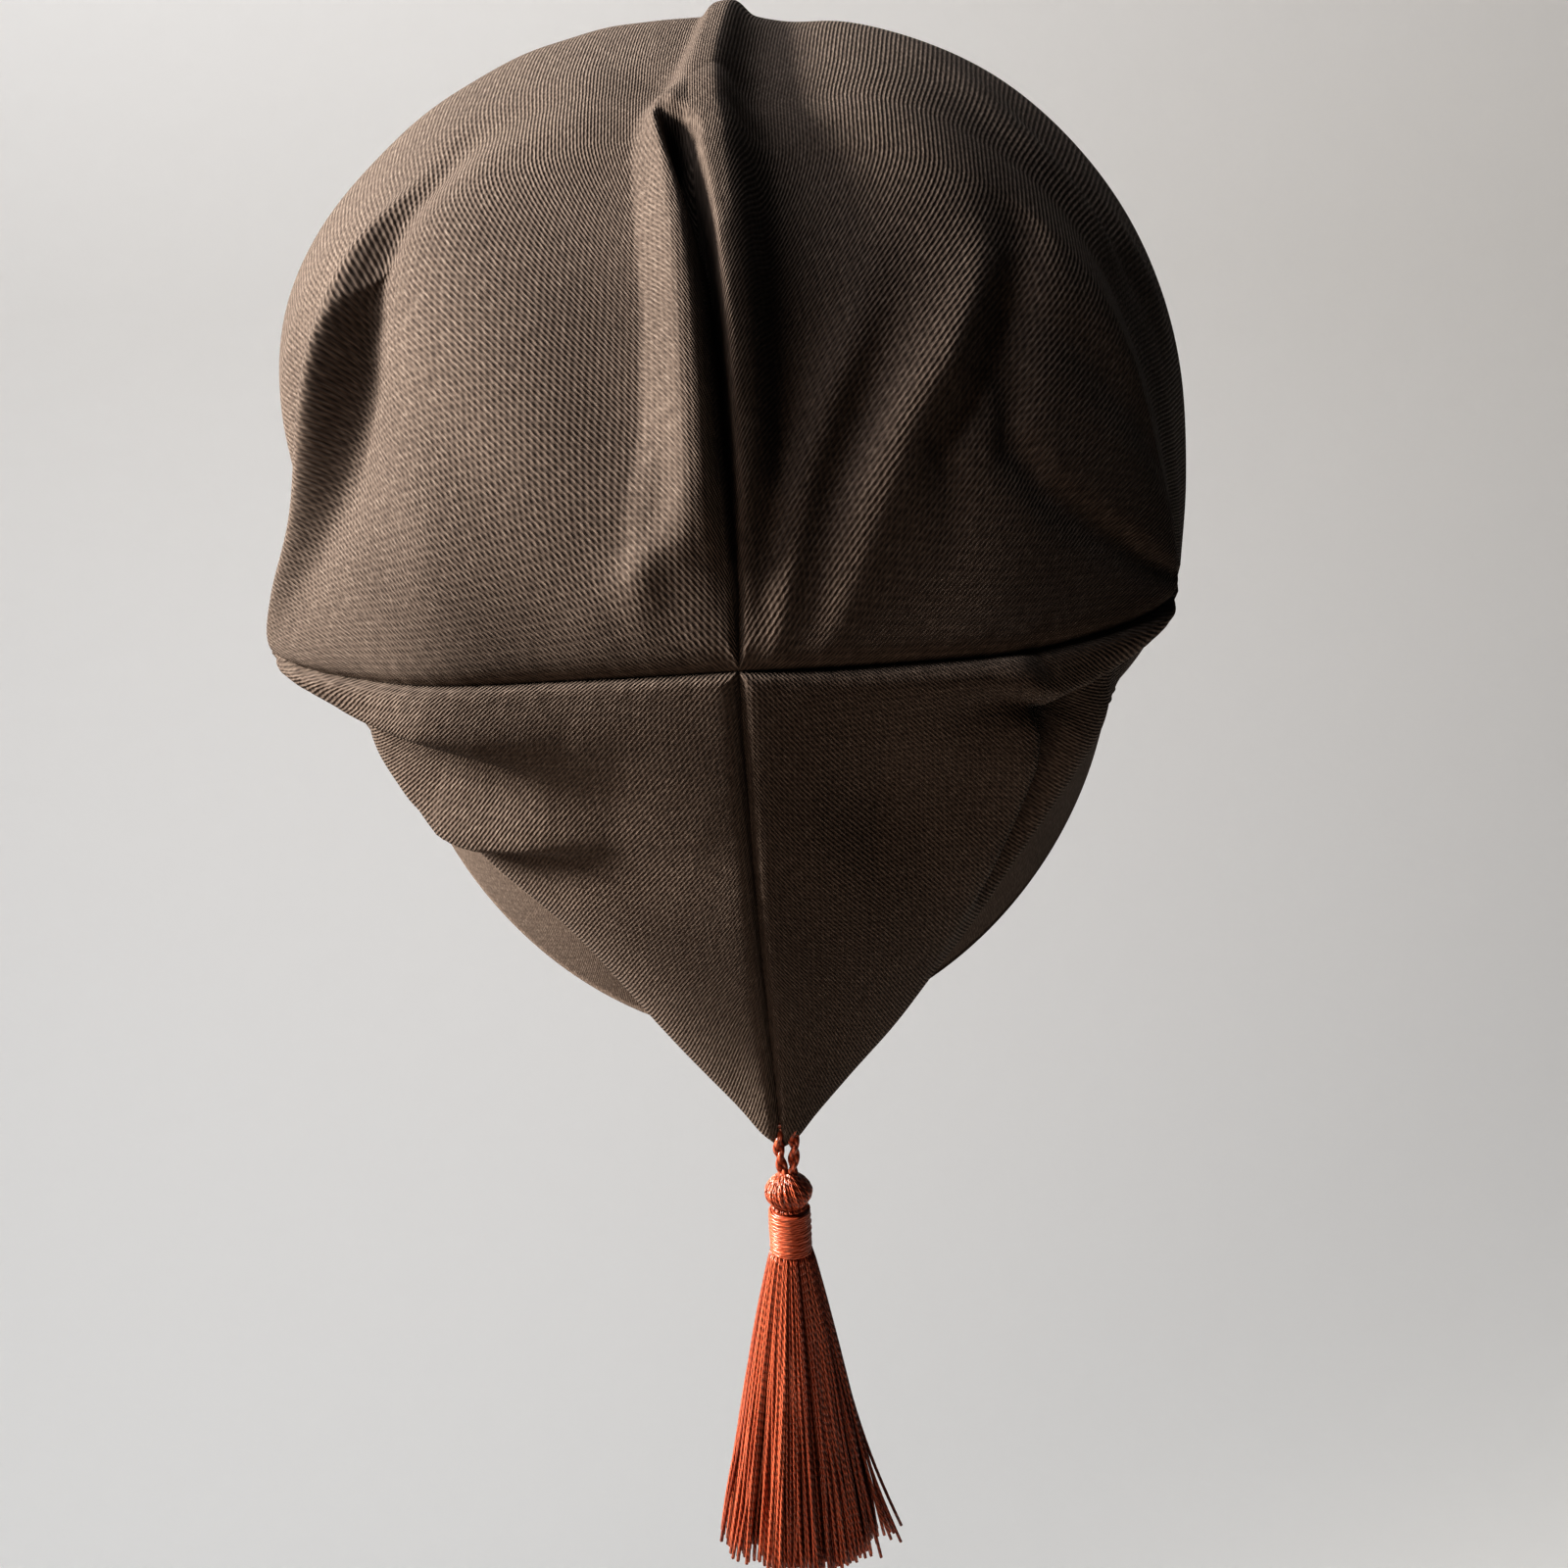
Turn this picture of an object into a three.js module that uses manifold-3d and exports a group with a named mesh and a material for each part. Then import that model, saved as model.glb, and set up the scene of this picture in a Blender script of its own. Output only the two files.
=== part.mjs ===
// Slouch beanie of ribbed jersey in its worn shape: a folded band round the head opening, a front and a
// back panel that meet behind the head in a seam with four arms, and a thread tassel on the lowest corner.
// Millimetres. +Z is up, +Y points the way the wearer faces, and the origin is the middle of the opening.
import * as THREE from "three";
import { mergeVertices } from "three/addons/utils/BufferGeometryUtils.js";
import Module from "manifold-3d";

const wasm = await Module();
wasm.setup();

// Driving dimensions
const gap = 0.3; // kept between neighbouring pieces
const clothThickness = 1.5;
const arm = 100; // length of each arm of the cross seam, from its middle to a corner
const seamWidth = 0.05; // cloth turned in on each side of a side seam, in arms
const bandClear = 0.006; // how far the panels stop short of the band, in arms
const band = { thickness: 2.6, inset: 0.4, edgeRadius: 0.8 };
const steps = { quarter: 16, tube: 18, end: 14, band: 60 }; // the mesh of the cloth
// How far in from the end's edge its two layers come together, and how far behind the edge, in arms.
const rim = { edge: 0.09, tip: 0.05, sides: 0.06, behind: 0.1, behindSides: 0.1 };
const thread = { radius: 0.8, spacing: 2.2 }; // the tassel's loop: two legs side by side
const tassel = {
  loopSeat: 5, // how far the loop is sewn into the corner
  loopLength: 6.7, // what shows of it
  loopSocket: 2.6, // how far its legs go into the head
  headRadius: 4,
  headHeight: 7.2,
  wrapRadius: 3.75,
  wrapHeight: 8.8,
  neckRadius: 2.9,
  skirtLength: 59.5,
  skirtRadius: 14.2,
};

// A table from text: a line of column names, then a row for each line, with its name first.
function table(text) {
  const [names, ...lines] = text.trim().split("\n").map((line) => line.trim().split(/\s+/));
  return lines.map((line) => Object.fromEntries(line.map((cell, i) => [names[i], i ? Number(cell) : cell])));
}

// Rings of the cloth from the middle of the cross out to the edge of the four-cornered end, on over the
// head to the band, and last the opening's lower edge. The columns give each ring's points on the upper
// arm (top), at the left and right (side, as a half width about midX) and on the lower arm (low).
// The columns up and low, L and R, round each quarter of a ring: 1 is a straight edge, 2 an oval, and more
// a squarer arch. The lower quarters hang below their line from the side to the low point by the sag, a
// quarter of the way along, and a lag above 1 keeps them forward of it. The upper quarters are wider by the
// swell, half way up.
const rings = table(`
  name        topX  topY  topZ midX sideX sideY sideZ lowX   lowY  lowZ  upL  upR lowL lowR sag  lag swell
  cross         -3  -118  29.4   -3     0  -118  29.4   -3   -118  29.4    2    2  1.3  1.3   0    1     0
  inner         -4  -103    61 -3.5  27.2  -105    28 -1.5 -118.7  -1.4    2    2  1.3  1.3   0    1     0
  middle        -5 -80.6  86.4   -4  54.3   -86    25    0   -112   -32 2.05  2.4 1.25 1.25   0    1     0
  edge          -6   -51 105.4 -4.5  79.5   -61  18.5  1.4    -98 -61.5  1.9  2.6    1  1.1   0    1     0
  underFlap     -6   -38   111   -3    78   -57  21.5    0   -102   -30    2  2.6 1.05 1.12   8  1.1     0
  shoulder      -5   -20 115.5 -2.5  80.5   -52  22.5    0   -104    -2  2.3  2.6 1.06 1.12  13 1.35     2
  crease        -3    14 118.5 -1.5  80.5   -46  22.5    0   -103     9  2.5 2.65 1.15 1.18  14  1.6   5.5
  crown         -1    45   113 -1.2  80.5   -35    22    0   -100     3  2.6  2.6  1.3  1.3  14  1.7     7
  temple         0    69    96 -0.8  79.5   -20    22    0  -94.5   -15  2.5  2.5  1.6  1.6   8  1.3     6
  bandSeam       0    78    72 -0.4    76  -5.5    18    0    -89   -36  2.2  2.2  1.8  1.8   0    1     0
  openingEdge    0    79    53    0  71.5     0     0    0    -79   -53 2.15 2.15 1.85 1.85   0    1     0
`);
const columns = Object.keys(rings[0]).slice(1);
const row = Object.fromEntries(rings.map((ring, i) => [ring.name, i]));

// Folds and seam grooves as straight lines on a chart of the cloth, in millimetres from the middle of the
// cross: u to the right arm, v to the upper arm. The end's edge is where |u| + |v| is one arm.
// A fold has its own half width on the left and on the right of its line, walked from its first end.
const folds = table(`
  name        fromU fromV toU toV left right lift
  upperSeam     0.6     4 0.6  96    2     2 -2.2
  hollow        0.4    58   0  98  2.8   2.8   -3
  pleat        -5.4    18  -5  97    8   3.6  4.4
  seamRidge       4     8   7 140  4.4   3.8  4.6
  wedge          11    18  15 120    4     8 -2.4
  leftRidge     -96     4 -54  50    6     5  2.6
  leftValley    -68    13 -45  50    5     9 -3.2
  fanRidge        8     6  26  36  3.4   3.4  1.6
  fanValley      14    16  28  47  3.4   3.4 -1.8
  broadRidge     20     9  43  46  4.4   4.4  2.2
  tentLeft       33    22  45  46  3.4   3.4 -1.8
  tentRight      46    46  45  24  3.6   3.6 -1.8
  rightValley    46    23  76  11    4     4 -1.8
  leftSeam      -95     0  -5   0    2     2 -1.4
  rightSeam       5     0  95   0    2     2 -1.6
  lowerSeam       0    -5   0 -94    2     2 -1.2
  tipBulk         0   -93   0 -99    6     6  1.3
  leftRoll      -92    -3 -24  -9    4     5  2.2
  leftHollow    -80   -12 -26 -18    5     6 -1.2
  leftCrest     -64   -34 -24 -31    5     7    2
  rightRoll      94    -2  48  -6    4     4  2.8
  rightCrest     59   -13  45 -40    4     4  2.8
`);

const smooth = (low, high, x) => THREE.MathUtils.smoothstep(x, low, high);

// Point of a ring in a direction of the chart: four quarters that meet on the arms.
function ringPoint(ring, u, v) {
  const [upRound, lowRound] = u < 0 ? [ring.upL, ring.lowL] : [ring.upR, ring.lowR];
  const round = v < 0 ? lowRound : upRound;
  const [endX, endY, endZ] = v < 0 ? [ring.lowX, ring.lowY, ring.lowZ] : [ring.topX, ring.topY, ring.topZ];
  const far = (Math.abs(u) ** round + Math.abs(v) ** round) ** (-1 / round);
  const along = Math.abs(v) * far;
  const [sag, lag, swell] = v < 0 ? [ring.sag, ring.lag, 0] : [0, 1, ring.swell];
  const belly = 4 * along * (1 - along);
  const droop = (256 / 27) * along * (1 - along) ** 3;
  return new THREE.Vector3(
    ring.midX + (ring.sideX + swell * belly) * u * far + (endX - ring.midX) * along,
    ring.sideY + (endY - ring.sideY) * along ** lag,
    ring.sideZ + (endZ - ring.sideZ) * along - sag * droop,
  );
}

// The ring at a place between two rows of the table, with every column on a smooth curve. Its slope at a
// row is the mean of the steps before and after, but at most twice the smaller step.
function ringAt(place) {
  const i = THREE.MathUtils.clamp(Math.floor(place), 0, rings.length - 2);
  const t = place - i;
  const [p, q, r, s] = [rings[i - 1] ?? rings[i], rings[i], rings[i + 1], rings[i + 2] ?? rings[i + 1]];
  const slope = (before, after) => {
    const most = 2 * Math.min(Math.abs(before), Math.abs(after));
    return THREE.MathUtils.clamp((before + after) / 2, -most, most);
  };
  const curve = (a, b, c, d) => {
    const from = slope(a === b ? c - b : b - a, c - b);
    const to = slope(c - b, d === c ? c - b : d - c);
    return b + t * from + t * t * (3 * (c - b) - 2 * from - to) + t * t * t * (from + to - 2 * (c - b));
  };
  return Object.fromEntries(columns.map((name) => [name, curve(p[name], q[name], r[name], s[name])]));
}

// The cloth without its folds, at a point of the chart in arms. Its reach, |u| + |v|, is 0 at the middle of
// the cross, 1 at the end's edge and 2 at the band.
function base(u, v) {
  const reach = Math.abs(u) + Math.abs(v);
  if (reach === 0) return ringPoint(rings[row.cross], 0, 1);
  const tube = row.bandSeam - row.edge;
  const place = reach < 1 ? reach * row.edge : row.edge + (reach - 1) * tube;
  return ringPoint(ringAt(place), u / reach, v / reach);
}

// How far a direction of the chart belongs to the lower half, where the cloth doubles back at the edge.
const lowerShare = (u, v) => smooth(-0.25, 0, -v / (Math.abs(u) + Math.abs(v)));

// Height of the folds: a bell across each line that fades past its ends, and behind the edge of the flap.
function lift(u, v) {
  let height = 0;
  for (const fold of folds) {
    const du = fold.toU - fold.fromU;
    const dv = fold.toV - fold.fromV;
    const length = Math.hypot(du, dv);
    const [fromU, fromV] = [u * arm - fold.fromU, v * arm - fold.fromV];
    const along = (fromU * du + fromV * dv) / length;
    const across = (fromV * du - fromU * dv) / length;
    const past = Math.max(0, -along, along - length);
    const width = across > 0 ? fold.left : fold.right;
    height += fold.lift * Math.exp(-((across / width) ** 2) - (past / (fold.left + fold.right)) ** 2);
  }
  const behind = smooth(1, 1.06, Math.abs(u) + Math.abs(v));
  return behind > 0 ? height * (1 - behind * lowerShare(u, v)) : height;
}

// The way the bare cloth faces. Close to a seam it turns to the seam's own way, so that the walls on both
// sides of the seam run inwards side by side.
function outward(u, v) {
  const step = 0.004;
  const normal = (a, b) => {
    const right = base(a + step, b).sub(base(a - step, b));
    return right.cross(base(a, b + step).sub(base(a, b - step))).normalize();
  };
  const level = smooth(0, seamWidth, Math.abs(v));
  const upright = smooth(0, seamWidth, Math.abs(u));
  const way = normal(u, v);
  if (level < 1) way.lerp(normal(u, 0), 1 - level);
  if (upright < 1) way.lerp(normal(0, v), 1 - upright);
  return way.lerp(normal(0, 0), 1 - smooth(0, 1.5 * seamWidth, Math.abs(u) + Math.abs(v))).normalize();
}

function cloth(u, v) {
  return base(u, v).addScaledVector(outward(u, v), lift(u, v));
}

// The inside of the wall. Where the two layers come together inside the end's edge it is cut straight
// across: a little along the edge, and more at the corners.
function lining(u, v) {
  const reach = Math.abs(u) + Math.abs(v);
  const wall = (r) => {
    const [a, b] = reach === 0 ? [0, 0] : [(u * r) / reach, (v * r) / reach];
    return cloth(a, b).addScaledVector(outward(a, b), -clothThickness);
  };
  const lower = lowerShare(u, v);
  const sideways = Math.abs(u / reach) ** 3;
  const near = 1 - lower * (rim.edge + rim.tip * Math.max(-v / reach, 0) ** 8 + rim.sides * sideways);
  const far = 1 + lower * (rim.behind + rim.behindSides * sideways);
  if (!(reach > near && reach < far)) return wall(reach);
  return wall(near).lerp(wall(far), (reach - near) / (far - near));
}

// A closed solid from points and triangles, and back to a geometry that three.js can show.
function solidFrom(points, triangles) {
  const vertProperties = new Float32Array(points.flatMap((p) => [p.x, p.y, p.z]));
  const triVerts = new Uint32Array(triangles);
  return new wasm.Manifold(new wasm.Mesh({ numProp: 3, vertProperties, triVerts }));
}

function solidOf(geometry) {
  const bare = geometry.clone();
  bare.deleteAttribute("normal");
  bare.deleteAttribute("uv");
  const merged = mergeVertices(bare, 1e-4);
  const vertProperties = new Float32Array(merged.attributes.position.array);
  const triVerts = new Uint32Array(merged.index.array);
  return new wasm.Manifold(new wasm.Mesh({ numProp: 3, vertProperties, triVerts }));
}

function geometryOf(solid) {
  const { vertProperties, triVerts } = solid.getMesh();
  const geometry = new THREE.BufferGeometry();
  geometry.setAttribute("position", new THREE.BufferAttribute(new Float32Array(vertProperties), 3));
  geometry.setIndex(new THREE.BufferAttribute(new Uint32Array(triVerts), 1));
  geometry.computeVertexNormals();
  return geometry;
}

// A panel fills the upper or the lower half of the chart, from the band in to the middle of the cross.
function panelSolid(side) {
  // Columns run from the left arm to the right, closer together at the arms. Rows run from the band to the
  // end's edge, with one more just behind the edge, and on to the middle, closer together at the edge.
  const turns = Array.from({ length: 2 * steps.quarter + 1 }, (_, i) => {
    const t = (i % steps.quarter) / steps.quarter;
    return Math.floor(i / steps.quarter) + t - (0.7 * Math.sin(2 * Math.PI * t)) / (2 * Math.PI);
  });
  const tube = Array.from({ length: steps.tube }, (_, i) => 2 - Math.max(i / steps.tube, bandClear));
  const end = Array.from({ length: steps.end }, (_, i) => {
    const t = i / steps.end;
    return 1 - t * (0.35 + 0.65 * t);
  });
  const reaches = [...tube, 1.025, ...end];
  const wide = turns.length;
  const tall = reaches.length;

  // Both edges and the middle stand half a gap back from the seam, and a little more at the corners.
  const places = [];
  const place = (u, v, reach) => {
    const atCorner = Math.exp(-(((reach - 1) / 0.06) ** 2));
    const clear = (0.5 * gap * (Math.max(1, 1.4 * reach) + 1.2 * atCorner)) / arm;
    places.push([u, side * (v + clear * Math.exp(-v / 0.03))]);
  };
  for (const reach of reaches) {
    for (const turn of turns) place((turn - 1) * reach, (1 - Math.abs(turn - 1)) * reach, reach);
  }
  place(0, 0, 0);
  const points = [...places.map(([u, v]) => cloth(u, v)), ...places.map(([u, v]) => lining(u, v))];

  const triangles = [];
  const triangle = (a, b, c) => triangles.push(...(side > 0 ? [a, b, c] : [a, c, b]));
  const quad = (a, b, c, d) => {
    triangle(a, b, c);
    triangle(a, c, d);
  };
  const inside = places.length;
  const at = (down, across) => (down === tall ? inside - 1 : down * wide + across);
  for (let i = 0; i < tall; i++) {
    for (let k = 0; k + 1 < wide; k++) {
      const [a, b, c, d] = [at(i, k), at(i + 1, k), at(i + 1, k + 1), at(i, k + 1)];
      triangle(a, c, d);
      triangle(inside + a, inside + d, inside + c);
      if (b !== c) {
        triangle(a, b, c);
        triangle(inside + a, inside + c, inside + b);
      }
    }
    for (const [k, flip] of [[0, false], [wide - 1, true]]) {
      const [a, b] = flip ? [at(i + 1, k), at(i, k)] : [at(i, k), at(i + 1, k)];
      quad(a, inside + a, inside + b, b);
    }
  }
  for (let k = 0; k + 1 < wide; k++) quad(k + 1, inside + k + 1, inside + k, k);
  return solidFrom(points, triangles);
}

// The band: a flat loop of folded jersey, its section rounded at the lower and upper edges.
function bandSolid() {
  const around = steps.band;
  const [front, back] = [band.inset, band.inset + band.thickness];
  const [frontRound, backRound] = [front + band.edgeRadius, back - band.edgeRadius];
  const outline = [
    { height: 0.03, depth: front }, { height: 0.96, depth: front },
    { height: 0.985, depth: frontRound }, { height: 0.985, depth: backRound },
    { height: 0.96, depth: back }, { height: 0.03, depth: back },
    { height: 0, depth: backRound }, { height: 0, depth: frontRound },
  ];
  const face = (angle, height) => {
    const [u, v] = [Math.sin(angle), Math.cos(angle)];
    const reach = (2 + (1 - height) / (row.bandSeam - row.edge)) / (Math.abs(u) + Math.abs(v));
    return base(u * reach, v * reach);
  };
  const points = [];
  for (let i = 0; i < around; i++) {
    const angle = (2 * Math.PI * i) / around;
    const aside = face(angle + 0.01, 0.5).sub(face(angle - 0.01, 0.5));
    const inwards = aside.cross(face(angle, 1).sub(face(angle, 0))).normalize();
    points.push(...outline.map(({ height, depth }) => face(angle, height).addScaledVector(inwards, depth)));
  }
  const triangles = [];
  const count = outline.length;
  for (let i = 0; i < around; i++) {
    const next = (i + 1) % around;
    for (let k = 0; k < count; k++) {
      const a = i * count + k;
      const b = i * count + ((k + 1) % count);
      const c = next * count + ((k + 1) % count);
      const d = next * count + k;
      triangles.push(a, b, c, a, c, d);
    }
  }
  return solidFrom(points, triangles);
}

// Tassel levels, measured down from the corner that it hangs on.
const corner = new THREE.Vector3(2.2, -99.5, -61.5);
const headTop = corner.z - tassel.loopLength;
const headBottom = headTop - tassel.headHeight;
const wrapBottom = headBottom - tassel.wrapHeight;
const skirtBottom = wrapBottom - tassel.skirtLength;

// Two legs and a half-round bend at the top, as one thread.
function loopGeometry() {
  const half = thread.spacing / 2;
  const topZ = corner.z + tassel.loopSeat;
  const bottomZ = headTop - tassel.loopSocket;
  const legs = new THREE.CurvePath();
  const left = new THREE.Vector3(-half, 0, bottomZ);
  const leftTop = new THREE.Vector3(-half, 0, topZ - half);
  const right = new THREE.Vector3(half, 0, bottomZ);
  const rightTop = new THREE.Vector3(half, 0, topZ - half);
  const bend = new THREE.Curve();
  bend.getPoint = (t, target = new THREE.Vector3()) =>
    target.set(-half * Math.cos(Math.PI * t), 0, topZ - half + half * Math.sin(Math.PI * t));
  legs.add(new THREE.LineCurve3(left, leftTop));
  legs.add(bend);
  legs.add(new THREE.LineCurve3(rightTop, right));
  const section = new THREE.Shape().absarc(0, 0, thread.radius, 0, 2 * Math.PI);
  return new THREE.ExtrudeGeometry(section, { steps: 16, curveSegments: 4, extrudePath: legs });
}

// Room for the loop, a gap wider than it all round.
function slotSolid(topZ, bottomZ) {
  const width = 2 * (thread.radius + gap);
  const box = new THREE.BoxGeometry(thread.spacing + width, width, topZ - bottomZ);
  return solidOf(box.translate(0, 0, (topZ + bottomZ) / 2));
}

const lathe = (profile, sides, turned = 0) =>
  new THREE.LatheGeometry(profile.map(([r, z]) => new THREE.Vector2(r, z)), sides, turned).rotateX(Math.PI / 2);

// Round head over the bound neck, with locks of thread fused to it below.
function threadsSolid() {
  const { headRadius, headHeight, neckRadius, skirtLength, skirtRadius } = tassel;
  const arc = (t) => [
    Math.max(0.01, headRadius * Math.sin(Math.PI * t) ** 0.7),
    headTop - headHeight * t,
  ];
  const head = [0.04, 0.14, 0.26, 0.4, 0.55, 0.7, 0.82].map(arc);
  const profile = [
    [0, wrapBottom - 6], [neckRadius + 1, wrapBottom - 6], [neckRadius, wrapBottom - 0.2],
    [neckRadius, headBottom], ...head.reverse(), [0, headTop],
  ];
  let solid = solidOf(lathe(profile, 15, 0.1));
  const locks = table(`
    name   count phase spread topRadius bottomRadius rise
    outer     13  0.13   0.84       1.1            3    0
    inner      6  0.41    0.4       1.1          3.6 -1.2
    middle     1     0      0       1.8          3.4   -2
  `);
  for (const { count, phase, spread, topRadius, bottomRadius, rise } of locks) {
    for (let i = 0; i < count; i++) {
      const angle = (2 * Math.PI * (i + phase)) / count;
      const away = new THREE.Vector3(Math.cos(angle), 0.86 * Math.sin(angle), 0);
      const from = away.clone().multiplyScalar(neckRadius * spread).setZ(wrapBottom - 0.8);
      const jag = rise + 1.2 * Math.sin(5 * i);
      const to = away.clone().multiplyScalar(skirtRadius * spread).setZ(wrapBottom - skirtLength - jag);
      const lock = new THREE.CylinderGeometry(topRadius, bottomRadius, from.distanceTo(to), 6);
      const down = to.clone().sub(from).normalize();
      lock.applyQuaternion(new THREE.Quaternion().setFromUnitVectors(new THREE.Vector3(0, -1, 0), down));
      const middle = from.add(to).multiplyScalar(0.5);
      solid = solid.add(solidOf(lock.translate(middle.x, middle.y, middle.z)));
    }
  }
  return solid.subtract(slotSolid(headTop + 1, headTop - tassel.loopSocket - gap));
}

// Wound thread round the neck, each turn a low ridge.
function wrapGeometry() {
  const turns = 8;
  const top = headBottom - gap;
  const pitch = (tassel.wrapHeight - 2 * gap) / turns;
  const inside = tassel.neckRadius + gap;
  const ridges = Array.from({ length: turns }, (_, i) => [
    [tassel.wrapRadius - 0.25, top - pitch * (i + 0.1)], [tassel.wrapRadius, top - pitch * (i + 0.5)],
    [tassel.wrapRadius - 0.25, top - pitch * (i + 0.9)],
  ]).flat();
  const profile = [[inside, top - pitch * turns], ...ridges.reverse(), [inside, top],
    [inside, top - pitch * turns]];
  return lathe(profile, 12);
}

const jersey = new THREE.MeshStandardMaterial({ color: "#4b4039", roughness: 0.95, metalness: 0 });
const hem = new THREE.MeshStandardMaterial({ color: "#463c36", roughness: 0.95, metalness: 0 });
const rustThread = new THREE.MeshStandardMaterial({ color: "#a8512f", roughness: 0.45, metalness: 0 });

function piece(name, geometry, material) {
  const mesh = new THREE.Mesh(geometry, material);
  mesh.name = name;
  return mesh;
}

const beanie = new THREE.Group();
beanie.name = "tassel_beanie";

const sewnSlot = slotSolid(corner.z + tassel.loopSeat + thread.radius + gap, headTop)
  .translate([corner.x, corner.y, 0]);
beanie.add(piece("front_panel", geometryOf(panelSolid(1)), jersey));
beanie.add(piece("back_panel", geometryOf(panelSolid(-1).subtract(sewnSlot)), jersey));
beanie.add(piece("hem_band", geometryOf(bandSolid()), hem));

const hanging = new THREE.Group();
hanging.position.set(corner.x, corner.y, 0);
hanging.add(piece("tassel_loop", loopGeometry(), rustThread));
hanging.add(piece("tassel_threads", geometryOf(threadsSolid()), rustThread));
hanging.add(piece("tassel_wrap", wrapGeometry(), rustThread));
beanie.add(hanging);

export default beanie;
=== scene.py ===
import math

import bpy
import numpy as np
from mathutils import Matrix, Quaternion, Vector


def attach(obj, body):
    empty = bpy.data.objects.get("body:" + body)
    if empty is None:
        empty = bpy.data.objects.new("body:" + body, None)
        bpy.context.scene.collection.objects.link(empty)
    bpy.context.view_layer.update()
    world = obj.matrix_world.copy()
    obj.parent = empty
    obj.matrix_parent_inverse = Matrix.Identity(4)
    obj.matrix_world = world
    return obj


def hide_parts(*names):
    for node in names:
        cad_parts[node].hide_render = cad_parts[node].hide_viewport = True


# Slouch beanie of fine twill-ribbed jersey with a rust thread tassel. Shapes are worked out in millimetres
# in the frame's own axes and put into the meshes in metres.
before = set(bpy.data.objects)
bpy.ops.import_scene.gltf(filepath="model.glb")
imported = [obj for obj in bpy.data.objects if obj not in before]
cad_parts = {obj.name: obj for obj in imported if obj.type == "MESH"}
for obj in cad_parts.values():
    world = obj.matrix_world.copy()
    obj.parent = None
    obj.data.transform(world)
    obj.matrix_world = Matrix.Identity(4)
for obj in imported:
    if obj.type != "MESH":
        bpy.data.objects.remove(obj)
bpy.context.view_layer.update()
rng = np.random.default_rng(7)
print("frame loaded:", len(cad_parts), "nodes")


def linear(hexColour):
    # an sRGB hex colour as linear red, green, blue and alpha
    srgb = np.array([int(hexColour[i:i + 2], 16) / 255 for i in (1, 3, 5)])
    light = np.where(srgb <= 0.04045, srgb / 12.92, ((srgb + 0.055) / 1.055) ** 2.4)
    return (*light.tolist(), 1.0)


def smooth(low, high, x):
    # 0 up to low, 1 from high on, and an S-shaped step between them
    t = np.clip((x - low) / (high - low), 0, 1)
    return t * t * (3 - 2 * t)


def unit(vectors):
    # the vectors with their lengths made 1
    return vectors / np.maximum(np.linalg.norm(vectors, axis=-1, keepdims=True), 1e-12)


def mix(a, b, share):
    # a share of the way from a to b
    return a + (b - a) * share[..., None]


def addPiece(name, points, faces, material, nodes=(), uv=None, shade=None, sharp=None):
    # points in millimetres, faces as lists of point numbers, one shade value for each point, and one uv for
    # each point or for each corner of the faces
    mesh = bpy.data.meshes.new(name)
    mesh.from_pydata(np.asarray(points) * 0.001, [], faces)
    mesh.polygons.foreach_set("use_smooth", np.ones(len(mesh.polygons), bool))
    if uv is not None:
        corners = np.empty(len(mesh.loops), np.int32)
        mesh.loops.foreach_get("vertex_index", corners)
        laid = np.asarray(uv, np.float32)
        laid = laid[corners] if len(laid) == len(points) else laid
        mesh.uv_layers.new(name="weave").data.foreach_set("uv", laid.ravel())
    if shade is not None:
        shades = mesh.attributes.new("shade", "FLOAT", "POINT")
        shades.data.foreach_set("value", np.asarray(shade, np.float32))
    if sharp is not None:
        mesh.set_sharp_from_angle(angle=math.radians(sharp))
    mesh.materials.append(material)
    mesh.validate()
    mesh.update()
    piece = bpy.data.objects.new(name, mesh)
    bpy.context.scene.collection.objects.link(piece)
    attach(piece, "root")
    if nodes:
        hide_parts(*nodes)
    print("piece", name, len(mesh.vertices), "points", len(faces), "faces")
    return piece


def addNode(tree, kind, settings=None, inputs=None, links=None):
    # a shader node with its settings, its input values, and links as input name to the socket that feeds it
    node = tree.nodes.new("ShaderNode" + kind)
    for key, value in (settings or {}).items():
        setattr(node, key, value)
    for key, value in (inputs or {}).items():
        node.inputs[key].default_value = value
    for key, socket in (links or {}).items():
        tree.links.new(socket, node.inputs[key])
    return node


def newMaterial(name):
    # an empty material and its node tree
    material = bpy.data.materials.new(name)
    material.use_nodes = True
    tree = material.node_tree
    tree.nodes.clear()
    return material, tree


# Cotton twill jersey, matte, of melange yarn: straight fine ribs 0.76 mm apart, each a row of short slanting
# stitches, with paler and darker stretches of yarn along them, broad soft patches in the dye, and painted shade
# in the low places between ribs and stitches. Rib, stitch, yarn and patch are in millimetres, the slant is in
# degrees and the relief in metres.
jersey = {
    "light": "#62574f", "dark": "#524841", "paintedGrooveShade": "#1f1a17", "pale": "#857a71", "deep": "#332c28",
    "sheen": "#b3a497", "rib": 0.76, "stitch": 0.95, "slant": 38.0, "yarn": 0.36, "yarnLength": 1.4,
    "patch": 30.0, "stitchRise": 0.35, "yarnRise": 0.4, "paintedGrooveShadeShare": 0.75, "relief": 0.00018,
}


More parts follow.
